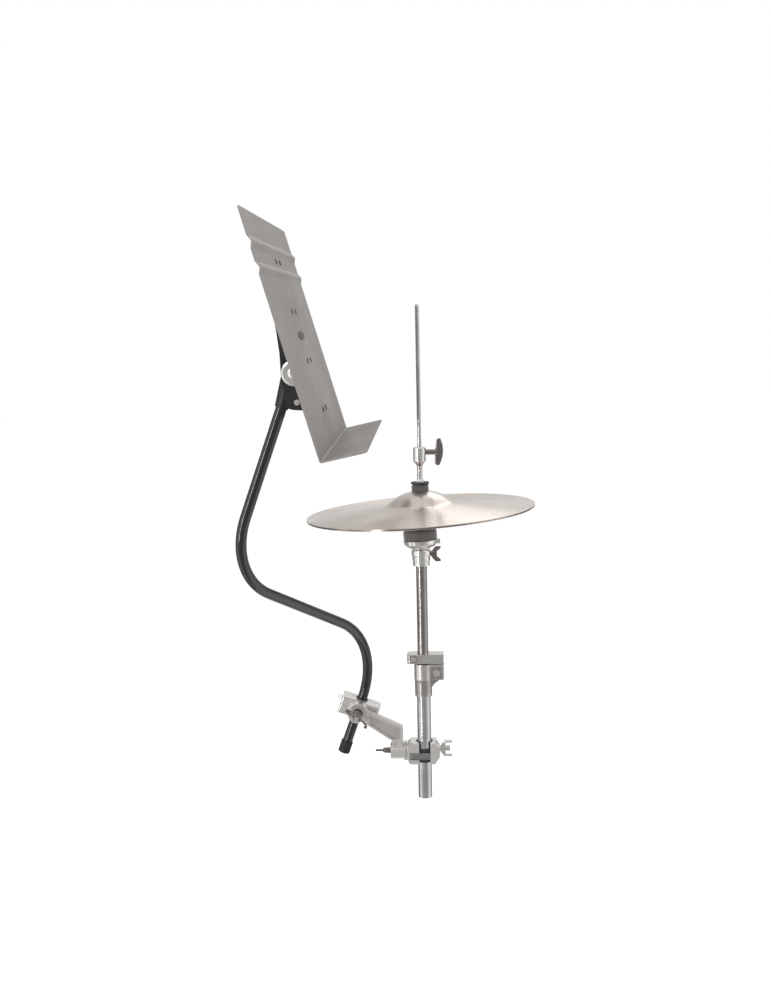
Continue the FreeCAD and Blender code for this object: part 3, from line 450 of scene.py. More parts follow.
# ---------------------------------------------------------------- mesh helpers
def new_object(name: str, mesh: bpy.types.Mesh) -> bpy.types.Object:
    """Link a mesh into the scene as an object at the origin.

    Args:
        name: The piece's name.
        mesh: Its mesh, in place.

    Returns:
        The new object.
    """
    piece = bpy.data.objects.new(name, mesh)
    bpy.context.scene.collection.objects.link(piece)
    return piece


def axis_matrix(base: Vector, axis: Vector) -> Matrix:
    """Matrix that carries the Z axis on to an axis through base.

    Args:
        base: Where the local origin goes, in metres.
        axis: Where the local Z axis points.

    Returns:
        The matrix.
    """
    return Matrix.Translation(base) @ axis.normalized().to_track_quat("Z", "Y").to_matrix().to_4x4()


def shade_by_angle(mesh: bpy.types.Mesh, degrees: float = 32.0) -> None:
    """Smooth shading with sharp edges past an angle.

    Args:
        mesh: The mesh to shade.
        degrees: Faces that meet at more than this stay sharp.
    """
    mesh.polygons.foreach_set("use_smooth", [True] * len(mesh.polygons))
    mesh.set_sharp_from_angle(angle=math.radians(degrees))


def turned(name: str, outline: Sequence[tuple[float, float]], matrix: Matrix, segments: int = 64) -> bpy.types.Object:
    """Lathe-turned piece from a closed or axis-to-axis outline.

    Args:
        name: The piece's name.
        outline: (radius, height) pairs in millimetres, in order.
        matrix: Where the local Z axis and origin go.
        segments: Facets round the axis.

    Returns:
        The new object.
    """
    shape = bmesh.new()
    rings = []
    for radius, height in outline:
        if radius < 1e-6:
            rings.append([shape.verts.new((0, 0, height * MM))])
            continue
        ring = [shape.verts.new((radius * MM * math.cos(2 * math.pi * k / segments),
                                 radius * MM * math.sin(2 * math.pi * k / segments), height * MM))
                for k in range(segments)]
        rings.append(ring)
    pairs = list(zip(rings, rings[1:]))
    if len(rings[0]) > 1 and len(rings[-1]) > 1:
        pairs.append((rings[-1], rings[0]))
    for low, high in pairs:
        for k in range(segments):
            after = (k + 1) % segments
            corners = [low[k % len(low)], low[after % len(low)], high[after % len(high)], high[k % len(high)]]
            corners = list(dict.fromkeys(corners))
            if len(corners) > 2:
                shape.faces.new(corners)
    bmesh.ops.recalc_face_normals(shape, faces=shape.faces)
    mesh = bpy.data.meshes.new(name)
    shape.to_mesh(mesh)
    shape.free()
    mesh.transform(matrix)
    shade_by_angle(mesh)
    return new_object(name, mesh)


def copied(node: str, name: str) -> bpy.types.Object:
    """Merged copy of a frame node's mesh as a new piece.

    Args:
        node: The frame node.
        name: The new piece's name.

    Returns:
        The new object.
    """
    shape = bmesh.new()
    shape.from_mesh(frame["nodes"][node].data)
    bmesh.ops.remove_doubles(shape, verts=shape.verts, dist=2e-6)
    bmesh.ops.recalc_face_normals(shape, faces=shape.faces)
    mesh = bpy.data.meshes.new(name)
    shape.to_mesh(mesh)
    shape.free()
    return new_object(name, mesh)


def arc_through(first: tuple[float, float], middle: tuple[float, float], last: tuple[float, float],
                count: int) -> list[tuple[float, float]]:
    """Points on the circular arc through three points.

    Args:
        first: Start point.
        middle: A point between.
        last: End point.
        count: Number of steps.

    Returns:
        count + 1 points from first to last.
    """
    ax, ay, bx, by, cx, cy = *first, *middle, *last
    det = 2 * (ax * (by - cy) + bx * (cy - ay) + cx * (ay - by))
    sq_a, sq_b, sq_c = ax * ax + ay * ay, bx * bx + by * by, cx * cx + cy * cy
    ox = (sq_a * (by - cy) + sq_b * (cy - ay) + sq_c * (ay - by)) / det
    oy = (sq_a * (cx - bx) + sq_b * (ax - cx) + sq_c * (bx - ax)) / det
    start, end = math.atan2(ay - oy, ax - ox), math.atan2(cy - oy, cx - ox)
    sweep = (end - start + math.pi) % (2 * math.pi) - math.pi
    radius = math.hypot(ax - ox, ay - oy)
    return [(ox + radius * math.cos(start + sweep * k / count), oy + radius * math.sin(start + sweep * k / count))
            for k in range(count + 1)]


# ---------------------------------------------------------------- geometry node trees
class GeometryTree:
    """A geometry node group under construction, with named inputs."""

    def __init__(self, name: str) -> None:
        """Start a group with a geometry output.

        Args:
            name: The group's name.
        """
        self.group = bpy.data.node_groups.new(name, "GeometryNodeTree")
        self.group.interface.new_socket("Geometry", in_out="OUTPUT", socket_type="NodeSocketGeometry")
        self.inputs = self.group.nodes.new("NodeGroupInput")
        self.output = self.group.nodes.new("NodeGroupOutput")

    def number(self, name: str, whole: bool = False) -> bpy.types.NodeSocket:
        """Add a named number input.

        Args:
            name: The input's name.
            whole: True for an integer.

        Returns:
            The socket inside the group.
        """
        kind = "NodeSocketInt" if whole else "NodeSocketFloat"
        self.group.interface.new_socket(name, in_out="INPUT", socket_type=kind)
        return self.inputs.outputs[name]

    def add(self, kind: str, **inputs: object) -> bpy.types.Node:
        """Add a node and fill its inputs.

        Args:
            kind: The node's type, without the GeometryNode prefix when it has one.
            inputs: Socket names, with underscores for spaces, and sockets or constants.

        Returns:
            The node.
        """
        known = kind if kind.startswith(("Shader", "Function")) else "GeometryNode" + kind
        node = self.group.nodes.new(known)
        for name, value in inputs.items():
            socket = node.inputs[name.replace("_", " ")]
            if isinstance(value, bpy.types.NodeSocket):
                self.group.links.new(value, socket)
            else:
                socket.default_value = value
        return node

    def math(self, operation: str, first: object, second: object) -> bpy.types.NodeSocket:
        """One math node of two sockets or numbers.

        Args:
            operation: The operation's name.
            first: A socket or a number.
            second: A socket or a number.

        Returns:
            The value socket.
        """
        node = self.group.nodes.new("ShaderNodeMath")
        node.operation = operation
        for socket, value in zip(node.inputs, (first, second)):
            if isinstance(value, bpy.types.NodeSocket):
                self.group.links.new(value, socket)
            else:
                socket.default_value = value
        return node.outputs[0]

    def close(self, geometry: bpy.types.NodeSocket, material: bpy.types.Material) -> bpy.types.NodeTree:
        """End the tree in Realize Instances and Set Material.

        Args:
            geometry: What the tree has made.
            material: Its finish.

        Returns:
            The finished group.
        """
        real = self.add("RealizeInstances", Geometry=geometry)
        dressed = self.add("SetMaterial", Geometry=real.outputs["Geometry"], Material=material)
        self.group.links.new(dressed.outputs["Geometry"], self.output.inputs["Geometry"])
        return self.group


def grown(name: str, group: bpy.types.NodeTree, values: dict[str, float], matrix: Matrix) -> bpy.types.Object:
    """Evaluate a geometry node group and keep the result as a plain mesh piece.

    Args:
        name: The piece's name.
        group: The node group.
        values: Its inputs by name.
        matrix: Where the group's own frame goes.

    Returns:
        The new object.
    """
    holder = new_object(name + "_source", bpy.data.meshes.new(name + "_source"))
    modifier = holder.modifiers.new("grow", "NODES")
    modifier.node_group = group
    for item in group.interface.items_tree:
        if item.item_type == "SOCKET" and item.in_out == "INPUT":
            modifier[item.identifier] = values[item.name]
    seen = holder.evaluated_get(bpy.context.evaluated_depsgraph_get())
    mesh = bpy.data.meshes.new_from_object(seen)
    bpy.data.objects.remove(holder)
    mesh.name = name
    mesh.transform(matrix)
    return new_object(name, mesh)


def thread_tree(material: bpy.types.Material) -> bpy.types.NodeTree:
    """Helical screw thread round Z.

    Args:
        material: The thread's finish.

    Returns:
        A group with inputs Radius, Depth, Pitch and Length, in metres.
    """
    tree = GeometryTree("screw_thread_" + material.name)
    radius, depth, pitch, length = (tree.number(name) for name in ("Radius", "Depth", "Pitch", "Length"))
    spiral = tree.add("CurveSpiral", Resolution=28, Rotations=tree.math("DIVIDE", length, pitch),
                      Start_Radius=radius, End_Radius=radius, Height=length)
    profile = tree.add("CurvePrimitiveCircle", Resolution=6, Radius=depth)
    body = tree.add("CurveToMesh", Curve=spiral.outputs["Curve"], Profile_Curve=profile.outputs["Curve"],
                    Fill_Caps=True)
    return tree.close(body.outputs["Mesh"], material)


def rib_row_tree(material: bpy.types.Material) -> bpy.types.NodeTree:
    """Row of round ribs side by side along X, each lying along Y.

    Args:
        material: The ribs' finish.

    Returns:
        A group with inputs Radius, Width, Step and Count.
    """
    tree = GeometryTree("rib_row_" + material.name)
    radius, width, step = (tree.number(name) for name in ("Radius", "Width", "Step"))
    count = tree.number("Count", True)
    offset = tree.add("ShaderNodeCombineXYZ", X=step)
    row = tree.add("MeshLine", Count=count, Offset=offset.outputs["Vector"])
    bar = tree.add("MeshCylinder", Vertices=16, Radius=radius, Depth=width)
    lying = tree.add("Transform", Geometry=bar.outputs["Mesh"], Rotation=(math.pi / 2, 0.0, 0.0))
    spread = tree.add("InstanceOnPoints", Points=row.outputs["Mesh"], Instance=lying.outputs["Geometry"])
    return tree.close(spread.outputs["Instances"], material)


def dome_row_tree(material: bpy.types.Material) -> bpy.types.NodeTree:
    """Grid of low domes, such as weld marks or rivet heads, on the XY plane.

    Args:
        material: The domes' finish.

    Returns:
        A group with inputs Radius, Flatness, Step X, Step Y, Count X and Count Y.
    """
    tree = GeometryTree("dome_row_" + material.name)
    radius, flat, step_x, step_y = (tree.number(name) for name in ("Radius", "Flatness", "Step X", "Step Y"))
    count_x, count_y = (tree.number(name, True) for name in ("Count X", "Count Y"))
    wide = tree.math("MULTIPLY", step_x, tree.math("SUBTRACT", count_x, 1))
    deep = tree.math("MULTIPLY", step_y, tree.math("SUBTRACT", count_y, 1))
    grid = tree.add("MeshGrid", Size_X=wide, Size_Y=deep, Vertices_X=count_x, Vertices_Y=count_y)
    ball = tree.add("MeshUVSphere", Segments=24, Rings=12, Radius=radius)
    squat = tree.add("ShaderNodeCombineXYZ", X=1.0, Y=1.0, Z=flat)
    smooth = tree.add("SetShadeSmooth", Geometry=ball.outputs["Mesh"])
    spread = tree.add("InstanceOnPoints", Points=grid.outputs["Mesh"], Instance=smooth.outputs["Geometry"],
                      Scale=squat.outputs["Vector"])
    return tree.close(spread.outputs["Instances"], material)


# ---------------------------------------------------------------- the frame, as the sub-assemblies use it
@dataclass
class Workshop:
    """Finishes made once, and the calls that dress nodes and mount new pieces."""

    finishes: dict[Finish, bpy.types.Material] = field(default_factory=dict)

    def stock(self, recipes: dict[Finish, object]) -> None:
        """Make every finish.

        Args:
            recipes: A finish recipe for each name.
        """
        for finish, recipe in recipes.items():
            self.finishes[finish] = recipe.build(finish.value)

    def dress(self, finish: Finish, *nodes: str) -> None:
        """Give frame nodes a finish.

        Args:
            finish: The finish.
            nodes: Names of frame nodes.
        """
        for node in nodes:
            part = frame["nodes"][node]
            for slot in part.material_slots:
                slot.material = self.finishes[finish]

    def mount(self, piece: bpy.types.Object, body: str, finish: Finish, slot: str, *replaced: str) -> None:
        """Finish a new piece and let it ride on a body.

        Args:
            piece: The new piece.
            body: The body that it moves with.
            finish: Its finish.
            slot: The record's material slot that it belongs to; not used.
            replaced: Frame nodes that it stands for.
        """
        if not piece.data.materials:
            piece.data.materials.append(self.finishes[finish])
        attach(piece, body)
        if replaced:
            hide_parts(*replaced)
        LOG.info("%s rides on %s in %s", piece.name, body, finish.value)

    def thread(self, name: str, body: str, base: Vector, axis: Vector, radius: float, length: float,
               pitch: float = 1.25, finish: Finish = Finish.CHROME, slot: str = "tube_chrome") -> None:
        """Add a screw thread to a plain shank.

        Args:
            name: The piece's name.
            body: The body that it moves with.
            base: Start of the thread, in metres.
            axis: Way that it runs.
            radius: Shank radius in millimetres.
            length: Threaded length in millimetres.
            pitch: Thread pitch in millimetres.
            finish: Its finish.
            slot: The record's material slot.
        """
        values = {"Radius": radius * MM, "Depth": pitch * 0.36 * MM, "Pitch": pitch * MM, "Length": length * MM}
        piece = grown(name, thread_tree(self.finishes[finish]), values, axis_matrix(base, axis))
        self.mount(piece, body, finish, slot)


def joint_place(name: str) -> tuple[Vector, Vector]:
    """Where a joint is.

    Args:
        name: The joint's name.

    Returns:
        Its position, or the origin for a slide, and its axis.
    """
    found = next(joint for joint in frame["record"]["behaviour"]["joints"] if joint["name"] == name)
    return Vector(found.get("pos_m", (0, 0, 0))), Vector(found["axis"])


# ---------------------------------------------------------------- sub-assemblies
@dataclass
class Stand:
    """Tubes, height clamp and memory lock."""

    shop: Workshop
    bolt_root_r: float = 2.9
    bolt_pitch: float = 1.0
    bolt_chamfer: float = 0.2

    def build(self) -> None:
        """Dress the tubes and castings, and thread the clamp bolt."""
        shop = self.shop
        shop.dress(Finish.CHROME, "lower_tube", "pull_rod", "lower_rod", "rod_coupling")
        shop.dress(Finish.BRIGHT_CHROME, "clamp_nut", "height_wing_bolt", "memory_lock_screw", "memory_lock_pin")
        # Upper tube: darker copy of the chrome, painted shade.
        shop.dress(Finish.SHADED_CHROME, "upper_tube")
        # Height clamp and memory lock: darker copy of the satin casting, painted shade.
        shop.dress(Finish.SHADED_CASTING, "height_clamp", "memory_lock_front", "memory_lock_rear")
        shop.dress(Finish.NYLON, "clamp_bush", "rod_guide_top", "rod_guide_bottom")
        shop.dress(Finish.STEEL, "return_spring")
        place, axis = joint_place("height_bolt_turn")
        nut_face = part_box("clamp_nut")[0][1]
        start = Vector((place.x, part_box("height_wing_bolt")[0][1] + self.bolt_chamfer * MM,
                        place.z))
        length = (nut_face - start.y) / MM
        shop.thread("height_bolt_thread", "height_bolt", start, axis, self.bolt_root_r, length, self.bolt_pitch)


@dataclass
class Cymbals:
    """The lathed pair on its seat, with the felts."""

    shop: Workshop
    rim_z: float = 461.8
    rim_gap: float = 0.9
    tilt_deg: float = 3.27
    rim_r: float = 177.8
    bell_r: float = 52.0
    hole_r: float = 7.5
    bow_rise: float = 10.5
    upper_bell: float = 29.4
    lower_bell: float = 26.0
    thickness: float = 1.2
    groove_pitch: float = 2.4
    groove_depth: float = 0.10
    smoothing: int = 150

    def tilt(self) -> Matrix:
        """Tilt about the rim centre, the +X side higher."""
        centre = Matrix.Translation((0, 0, self.rim_z * MM))
        return centre @ Matrix.Rotation(math.radians(-self.tilt_deg), 4, "Y")

    def outline(self, bell_rise: float) -> list[tuple[float, float]]:
        """Closed cross-section with tone grooves on the upper face and a soft shoulder round the bell.

        Args:
            bell_rise: Height of the bell's crown over the rim plane.

        Returns:
            (radius, height) pairs in millimetres.
        """
        middle = ((self.rim_r + self.bell_r) / 2, self.bow_rise * 0.56)
        shoulder = (self.bell_r, self.bow_rise)
        bell_side = (self.bell_r * 0.66, self.bow_rise + (bell_rise - self.bow_rise) * 0.69)
        crown = (self.bell_r * 0.30, bell_rise)
        face = arc_through((self.rim_r, 0.0), middle, shoulder, 240)
        face += arc_through(shoulder, bell_side, crown, 60)[1:] + [(self.hole_r, bell_rise)]
        heights = [height for _, height in face]
        for _ in range(self.smoothing):
            heights[1:-1] = [(low + 2 * mid + high) / 4 for low, mid, high in zip(heights, heights[1:], heights[2:])]
        face = [(radius, height) for (radius, _), height in zip(face, heights)]
        top = [(radius, height + self.thickness - self.groove(radius)) for radius, height in reversed(face[1:])]
        return face + top + [(self.rim_r, self.thickness * 0.7)]

    def groove(self, radius: float) -> float:
        """Depth of the tone grooves at a radius, none on the bell."""
        if radius < self.bell_r:
            return 0.0
        return self.groove_depth * 0.5 * (1 - math.cos(2 * math.pi * (self.rim_r - radius) / self.groove_pitch))

    def build(self) -> None:
        """Turn both cymbals and fluff the felts."""
        shop = self.shop
        top = turned("cymbal_upper", self.outline(self.upper_bell), self.tilt(), 160)
        shop.mount(top, "upper_cymbal", Finish.BRONZE, "bronze", "top_cymbal")
        flipped = self.tilt() @ Matrix.Translation((0, 0, -self.rim_gap * MM)) @ Matrix.Rotation(math.pi, 4, "X")
        bottom = turned("cymbal_lower", self.outline(self.lower_bell), flipped, 160)
        shop.mount(bottom, "seat", Finish.BRONZE, "bronze", "bottom_cymbal")
        for node, body in (("clutch_felt_upper", "upper_cymbal"), ("clutch_felt_lower", "upper_cymbal"),
                           ("seat_felt", "seat")):
            shop.mount(self.fluffed(node), body, Finish.FELT, "felt_dark", node)
        shop.dress(Finish.BRIGHT_CHROME, "seat_cup", "seat_body")
        shop.dress(Finish.BLACK_CHROME, "tilter_screw")

    def fluffed(self, node: str, cell: float = 1.6, depth: float = 0.32) -> bpy.types.Object:
        """Felt pad with an uneven, slightly sunk surface.

        Args:
            node: The frame node that it copies.
            cell: Size of the new facets in millimetres.
            depth: Greatest dent in millimetres.

        Returns:
            The new piece.
        """
        pad = copied(node, node + "_wool")
        remesh = pad.modifiers.new("remesh", "REMESH")
        remesh.mode = "VOXEL"
        remesh.voxel_size = cell * 0.5 * MM
        seen = pad.evaluated_get(bpy.context.evaluated_depsgraph_get())
        mesh = bpy.data.meshes.new_from_object(seen)
        pad.modifiers.clear()
        pad.data = mesh
        for vertex in mesh.vertices:
            dent = noise.noise(vertex.co / (cell * 2.4 * MM)) * 0.5 + 0.5
            vertex.co -= vertex.normal * depth * dent * MM
        shade_by_angle(mesh, 60)
        return pad


@dataclass
class Clutch:
    """Clutch body, its threaded sleeve, nuts and wing screw."""

    shop: Workshop
    sleeve_r: float = 4.0
    sleeve_pitch: float = 1.5
    cone_low: float = 532.5
    end_gap: float = 0.5
    nut_gap: float = 0.6

    def build(self) -> None:
        """Dress the clutch and cut the sleeve's thread."""
        shop = self.shop
        shop.dress(Finish.BRIGHT_CHROME, "clutch_body", "clutch_lock_nut", "clutch_bottom_nut")
        shop.dress(Finish.BLACK_CHROME, "clutch_wing_screw")
        shop.dress(Finish.NYLON, "clutch_flange")
        nut_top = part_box("clutch_lock_nut")[1][2]
        start = Vector((0, 0, nut_top))
        length = self.cone_low - nut_top / MM
        upright = Vector((0, 0, 1))
        shop.thread("sleeve_thread", "clutch", start, upright, self.sleeve_r, length, self.sleeve_pitch)
        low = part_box("clutch_body")[0][2]
        bottom_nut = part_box("clutch_bottom_nut")[0][2]
        tail = Vector((0, 0, low + self.end_gap * MM))
        shop.thread("sleeve_tail_thread", "clutch", tail, upright, self.sleeve_r,
                    (bottom_nut - low) / MM - self.nut_gap, self.sleeve_pitch)


@dataclass
class MultiClamp:
    """Jaws, gate bar, ratchet and arm, with the ribs along the arm's upper edge."""

    shop: Workshop
    edge_start: tuple[float, float] = (-91.0, 144.0)
    edge_end: tuple[float, float] = (-34.0, 116.8)
    arm_front: float = -12.0
    arm_back: float = 4.5
    rib_r: float = 1.0
    rib_step: float = 2.7
    rib_sunk: float = 0.35
    rib_margin: float = 3.4

    def build(self) -> None:
        """Dress the castings, steel and screws."""
        shop = self.shop
        shop.dress(Finish.CASTING, "clamp_jaw_left", "clamp_jaw_right", "arm", "ratchet_fixed", "ratchet_arm")
        shop.dress(Finish.STEEL, "gate_bar", "clamp_shoe")
        shop.dress(Finish.BRIGHT_CHROME, "clamp_hinge_pin", "clamp_wing_screw")
        shop.dress(Finish.BLACK_CHROME, "arm_wing_bolt")
        shop.dress(Finish.NYLON, "jaw_liner")
        self.ribs()

    def ribs(self) -> None:
        """Lay round ribs across the arm's upper edge."""
        start, end = (Vector((x, 0.0, z)) * MM for x, z in (self.edge_start, self.edge_end))
        along = (end - start).normalized()
        across = Vector((0, 1, 0))
        middle = (self.arm_front + self.arm_back) / 2 * MM
        out = along.cross(across)
        turn = Matrix((along, across, out)).transposed().to_4x4()
        first = start + along * self.rib_step * MM + across * middle - out * self.rib_sunk * MM
        count = int((end - start).length / MM / self.rib_step) - 1
        values = {"Radius": self.rib_r * MM, "Width": (self.arm_back - self.arm_front - self.rib_margin) * MM,
                  "Step": self.rib_step * MM, "Count": count}
        tree = rib_row_tree(self.shop.finishes[Finish.CASTING])
        self.shop.mount(grown("arm_edge_ribs", tree, values, Matrix.Translation(first) @ turn), "arm",
                        Finish.CASTING, "cast_nickel")


@dataclass
class Holder:
    """Clamp block that grips the bent tube."""

    shop: Workshop
    bolt_exposed: float = 4.4
    bolt_root_r: float = 3.7
    tail_exposed: float = 5.6
    tail_root_r: float = 2.3
    tail_pitch: float = 1.0
    chamfer: float = 0.3

    def build(self) -> None:
        """Dress the halves and bolts, and thread what stands out of the nuts."""
        shop = self.shop
        shop.dress(Finish.CASTING, "holder_front", "holder_rear")
        shop.dress(Finish.BRIGHT_CHROME, "holder_hinge_pin", "holder_eye_bolt", "holder_wing_nut", "swivel_bolt")
        shop.dress(Finish.BLACK_CHROME, "swivel_wing_nut")
        shop.dress(Finish.NYLON, "split_bush")
        place, axis = joint_place("swivel_nut_turn")
        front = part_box("swivel_bolt")[0][1]
        start = Vector((place.x, front + self.chamfer * MM, place.z))
        shop.thread("swivel_bolt_thread", "holder", start, axis, self.bolt_root_r, self.bolt_exposed)
        eye, _ = joint_place("holder_nut_turn")
        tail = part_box("holder_eye_bolt")[1][1]
        foot = Vector((eye.x, tail - (self.tail_exposed + self.chamfer) * MM, eye.z))
        shop.thread("eye_bolt_thread", "holder", foot, axis, self.tail_root_r, self.tail_exposed, self.tail_pitch)


@dataclass
class Desk:
    """Bent tube, socket, spine bracket and the folded panel, with the spot welds down the spine."""

    shop: Workshop
    weld_r: float = 2.2
    weld_step: float = 29.0
    weld_gap: float = 14.0
    weld_low: float = 134.0
    weld_rows: int = 5
    weld_flatness: float = 0.25
    spine_back: float = -3.6
    pivot_behind: float = 22.3
    pivot_above: float = 108.7
    lean_deg: float = 16.21
    yaw_deg: float = 1.07

    def build(self) -> None:
        """Dress the tube, bracket and panel, and add the spot welds."""
        shop = self.shop
        shop.dress(Finish.GLOSS_BLACK, "s_tube")
        shop.dress(Finish.SATIN_BLACK, "tube_socket", "desk_bracket")
        shop.dress(Finish.RUBBER, "tube_end_cap")
        shop.dress(Finish.BRIGHT_CHROME, "pivot_disc_near", "pivot_disc_far", "pivot_bolt", "stop_screw")
        shop.dress(Finish.ENAMEL, "desk_panel")
        shop.dress(Finish.BADGE, "desk_badge")
        self.welds()

    def welds(self) -> None:
        """Two columns of low spot welds on the spine's rear face, clear of the pivot hole."""
        turn = (Matrix.Rotation(math.radians(self.yaw_deg), 4, "Z")
                @ Matrix.Rotation(math.radians(-self.lean_deg), 4, "Y"))
        grid = Matrix.Rotation(math.radians(-90), 4, "Y") @ Matrix.Rotation(math.radians(90), 4, "Z")
        middle = self.weld_low + self.weld_step * (self.weld_rows - 1) / 2
        pivot, _ = joint_place("desk_tilt")
        from_pivot = Vector((self.pivot_behind + self.spine_back, 0.0, middle - self.pivot_above)) * MM
        place = Matrix.Translation(pivot) @ turn @ Matrix.Translation(from_pivot) @ grid
        values = {"Radius": self.weld_r * MM, "Flatness": self.weld_flatness, "Step X": self.weld_gap * MM,
                  "Step Y": self.weld_step * MM, "Count X": 2, "Count Y": self.weld_rows}
        dots = grown("spine_welds", dome_row_tree(self.shop.finishes[Finish.SATIN_BLACK]), values, place)
        self.shop.mount(dots, "desk", Finish.SATIN_BLACK, "bracket_black")


@dataclass
class Studio:
    """Pale paper, soft light and the camera."""

    shop: Workshop
    floor_z: float = -0.42
    floor_half: float = 14.0
    aim: tuple[float, float, float] = (-0.05, -0.1, 0.45)
    camera_at: tuple[float, float, float] = (0.05937, -2.08216, 0.76279)
    yaw_deg: float = -3.12
    pitch_deg: float = 7.73
    roll_deg: float = -1.21
    lens: float = 48.65
    sky: float = 0.95
    bands: tuple[tuple[float, float], ...] = (
        (0.0, 0.95), (0.045, 1.1), (0.09, 0.75), (0.15, 0.34), (0.22, 0.42), (0.27, 0.30), (0.34, 0.34), (0.40, 0.55),
        (0.46, 0.95), (0.51, 1.05), (0.56, 0.45), (0.62, 0.20), (0.69, 0.70), (0.78, 0.80), (0.87, 0.22),
        (0.93, 0.30))

    def build(self) -> None:
        """Build the floor, world, lights and camera."""
        self.floor()
        self.world()
        self.light("key", (-1.7, -1.6, 2.3), 1.2, 14.0)
        self.light("fill", (2.4, -1.2, 1.4), 1.2, 7.0)
        self.light("back", (0.6, 2.2, 2.4), 1.6, 10.0)
        self.light("strip", (-1.5, -1.75, 0.55), 0.14, 16.0, 2.4)
        self.camera()

    def floor(self) -> None:
        """Large sheet of pale paper under the object."""
        half = self.floor_half
        mesh = bpy.data.meshes.new("studio_floor")
        corners = [(-half, -half, self.floor_z), (half, -half, self.floor_z),
                   (half, half, self.floor_z), (-half, half, self.floor_z)]
        mesh.from_pydata(corners, [], [(0, 1, 2, 3)])
        mesh.materials.append(StudioPaper().build("studio_paper"))
        new_object("studio_floor", mesh)

    def world(self) -> None:
        """White backdrop, an even white sky that lights, and a sky with dark gaps for metal to mirror."""
        world = bpy.data.worlds.new("studio_sky")
        bpy.context.scene.world = world
        world.use_nodes = True
        tree = world.node_tree
        tree.nodes.clear()
        new, link = tree.nodes.new, tree.links.new
        output, path, coord = new("ShaderNodeOutputWorld"), new("ShaderNodeLightPath"), new("ShaderNodeTexCoord")
        backdrop, sky, mirrored = (new("ShaderNodeBackground") for _ in range(3))
        backdrop.inputs["Color"].default_value = (1.0, 1.0, 1.0, 1.0)
        sky.inputs["Color"].default_value = (1.0, 1.0, 1.0, 1.0)
        sky.inputs["Strength"].default_value = self.sky
        split, angle, around = (new("ShaderNodeSeparateXYZ"), new("ShaderNodeMath"), new("ShaderNodeMapRange"))
        angle.operation = "ARCTAN2"
        around.inputs["From Min"].default_value = -math.pi
        around.inputs["From Max"].default_value = math.pi
        bands = new("ShaderNodeValToRGB")
        bands.color_ramp.interpolation = "B_SPLINE"
        while len(bands.color_ramp.elements) < len(self.bands):
            bands.color_ramp.elements.new(0.5)
        for element, (place, value) in zip(bands.color_ramp.elements, self.bands):
            element.position = place
            element.color = (value, value, value * 0.98, 1.0)
        high = new("ShaderNodeMapRange")
        for name, value in (("From Min", 0.3), ("From Max", 0.9), ("To Min", 0.0), ("To Max", 0.7)):
            high.inputs[name].default_value = value
        overhead = new("ShaderNodeMix")
        overhead.data_type = "RGBA"
        overhead.inputs[7].default_value = (0.85, 0.85, 0.85, 1.0)
        link(coord.outputs["Generated"], split.inputs["Vector"])
        link(split.outputs["Y"], angle.inputs[0])
        link(split.outputs["X"], angle.inputs[1])
        link(angle.outputs[0], around.inputs["Value"])
        link(around.outputs["Result"], bands.inputs["Fac"])
        link(split.outputs["Z"], high.inputs["Value"])
        link(high.outputs["Result"], overhead.inputs["Factor"])
        link(bands.outputs["Color"], overhead.inputs[6])
        link(overhead.outputs[2], mirrored.inputs["Color"])
        glossy, seen = new("ShaderNodeMixShader"), new("ShaderNodeMixShader")
        link(path.outputs["Is Glossy Ray"], glossy.inputs["Fac"])
        link(sky.outputs["Background"], glossy.inputs[1])
        link(mirrored.outputs["Background"], glossy.inputs[2])
        link(path.outputs["Is Camera Ray"], seen.inputs["Fac"])
        link(glossy.outputs["Shader"], seen.inputs[1])
        link(backdrop.outputs["Background"], seen.inputs[2])
        link(seen.outputs["Shader"], output.inputs["Surface"])

    def light(self, name: str, place: Sequence[float], size: float, power: float, height: float = 0.0) -> None:
        """Soft light that looks at the middle of the object.

        Args:
            name: The light's name.
            place: Where it stands, in metres.
            size: Its width in metres.
            power: Its power in watts.
            height: Its height in metres, or 0 for a square.
        """
        data = bpy.data.lights.new(name, "AREA")
        data.shape = "RECTANGLE"
        data.size = size
        data.size_y = height or size
        data.energy = power
        lamp = bpy.data.objects.new(name, data)
        lamp.location = place
        lamp.rotation_euler = (Vector(self.aim) - Vector(place)).to_track_quat("-Z", "Y").to_euler()
        lamp.visible_camera = False
        bpy.context.scene.collection.objects.link(lamp)

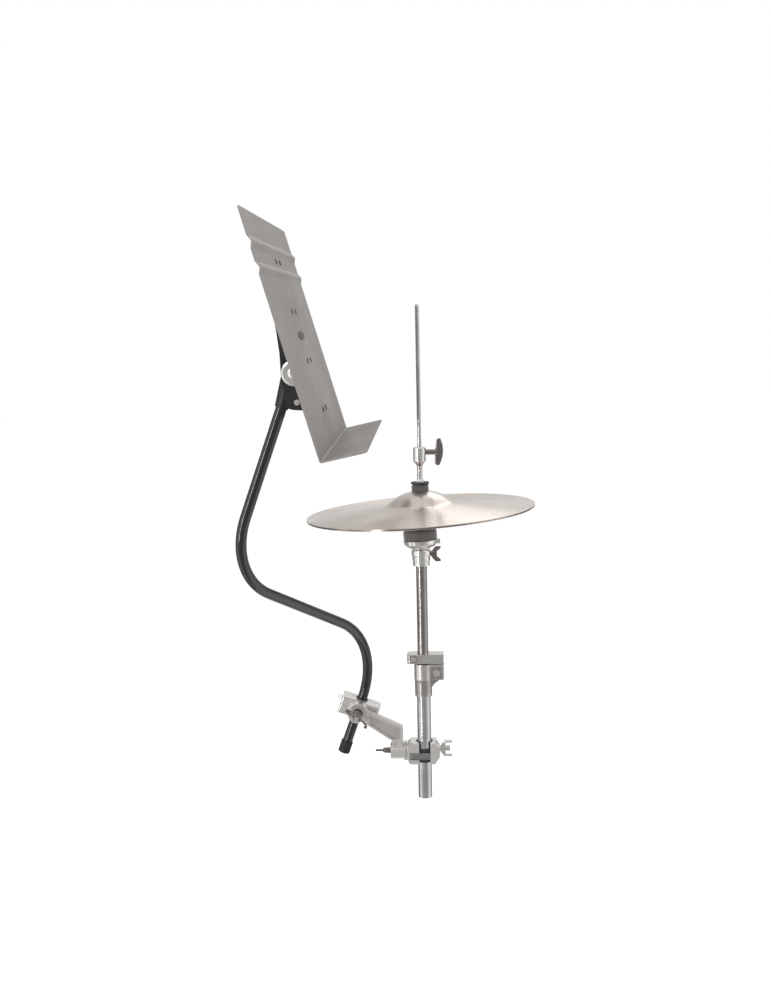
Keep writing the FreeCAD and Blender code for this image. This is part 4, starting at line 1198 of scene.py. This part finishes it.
    def camera(self) -> None:
        """Camera a little above the cymbals, turned slightly and rolled slightly."""
        yaw, pitch, roll = (math.radians(value) for value in (self.yaw_deg, self.pitch_deg, self.roll_deg))
        ahead = Vector((math.sin(yaw) * math.cos(pitch), math.cos(yaw) * math.cos(pitch), -math.sin(pitch)))
        right = Vector((math.cos(yaw), -math.sin(yaw), 0.0))
        upright = right.cross(ahead)
        rolled_right = right * math.cos(roll) + upright * math.sin(roll)
        rolled_up = upright * math.cos(roll) - right * math.sin(roll)
        data = bpy.data.cameras.new("camera")
        data.lens = self.lens
        data.sensor_fit = "VERTICAL"
        data.sensor_height = 36.0
        data.clip_end = 60.0
        camera = bpy.data.objects.new("camera", data)
        turn = Matrix((rolled_right, rolled_up, -ahead)).transposed().to_4x4()
        camera.matrix_world = Matrix.Translation(self.camera_at) @ turn
        bpy.context.scene.collection.objects.link(camera)
        bpy.context.scene.camera = camera
        bpy.context.scene.view_settings.view_transform = "Standard"


def recipes() -> dict[Finish, object]:
    """Finish recipes.

    Returns:
        A recipe for each finish.
    """
    return {
        Finish.CHROME: Chrome(),
        Finish.BRIGHT_CHROME: Chrome(tint=(0.93, 0.92, 0.91), gloss=0.13),
        Finish.BLACK_CHROME: Chrome(tint=(0.33, 0.30, 0.30), gloss=0.07),
        # Darker chrome copy: painted shade on the upper tube.
        Finish.SHADED_CHROME: Chrome(tint=(0.40, 0.375, 0.375), gloss=0.08),
        Finish.CASTING: CastNickel(),
        # Darker casting copy: painted shade on the height clamp and memory lock.
        Finish.SHADED_CASTING: CastNickel(tint=(0.50, 0.475, 0.465), worn=(0.70, 0.68, 0.66), metal=0.95),
        Finish.BRONZE: LathedBronze(tilt=math.radians(3.27)),
        Finish.FELT: Felt(),
        Finish.NYLON: Moulded(),
        Finish.RUBBER: Moulded(tint=(0.007, 0.007, 0.007), rough=0.55),
        Finish.GLOSS_BLACK: BlackPaint(),
        Finish.SATIN_BLACK: BlackPaint(tint=(0.006, 0.0055, 0.0055), rough=0.34, coat=0.15),
        Finish.ENAMEL: DeskEnamel(),
        Finish.BADGE: DeskEnamel(light=(0.045, 0.040, 0.038), dark=(0.025, 0.022, 0.021), bare=(0.06, 0.055, 0.052)),
        Finish.STEEL: DrawnSteel(),
    }


def main() -> None:
    """Build every class in order."""
    logging.basicConfig(level=logging.INFO, format="%(name)s: %(message)s")
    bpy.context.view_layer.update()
    shop = Workshop()
    shop.stock(recipes())
    for kind in (Studio, Stand, Cymbals, Clutch, MultiClamp, Holder, Desk):
        kind(shop).build()
        LOG.info("%s is done", kind.__name__)


if __name__ == "__main__":
    main()
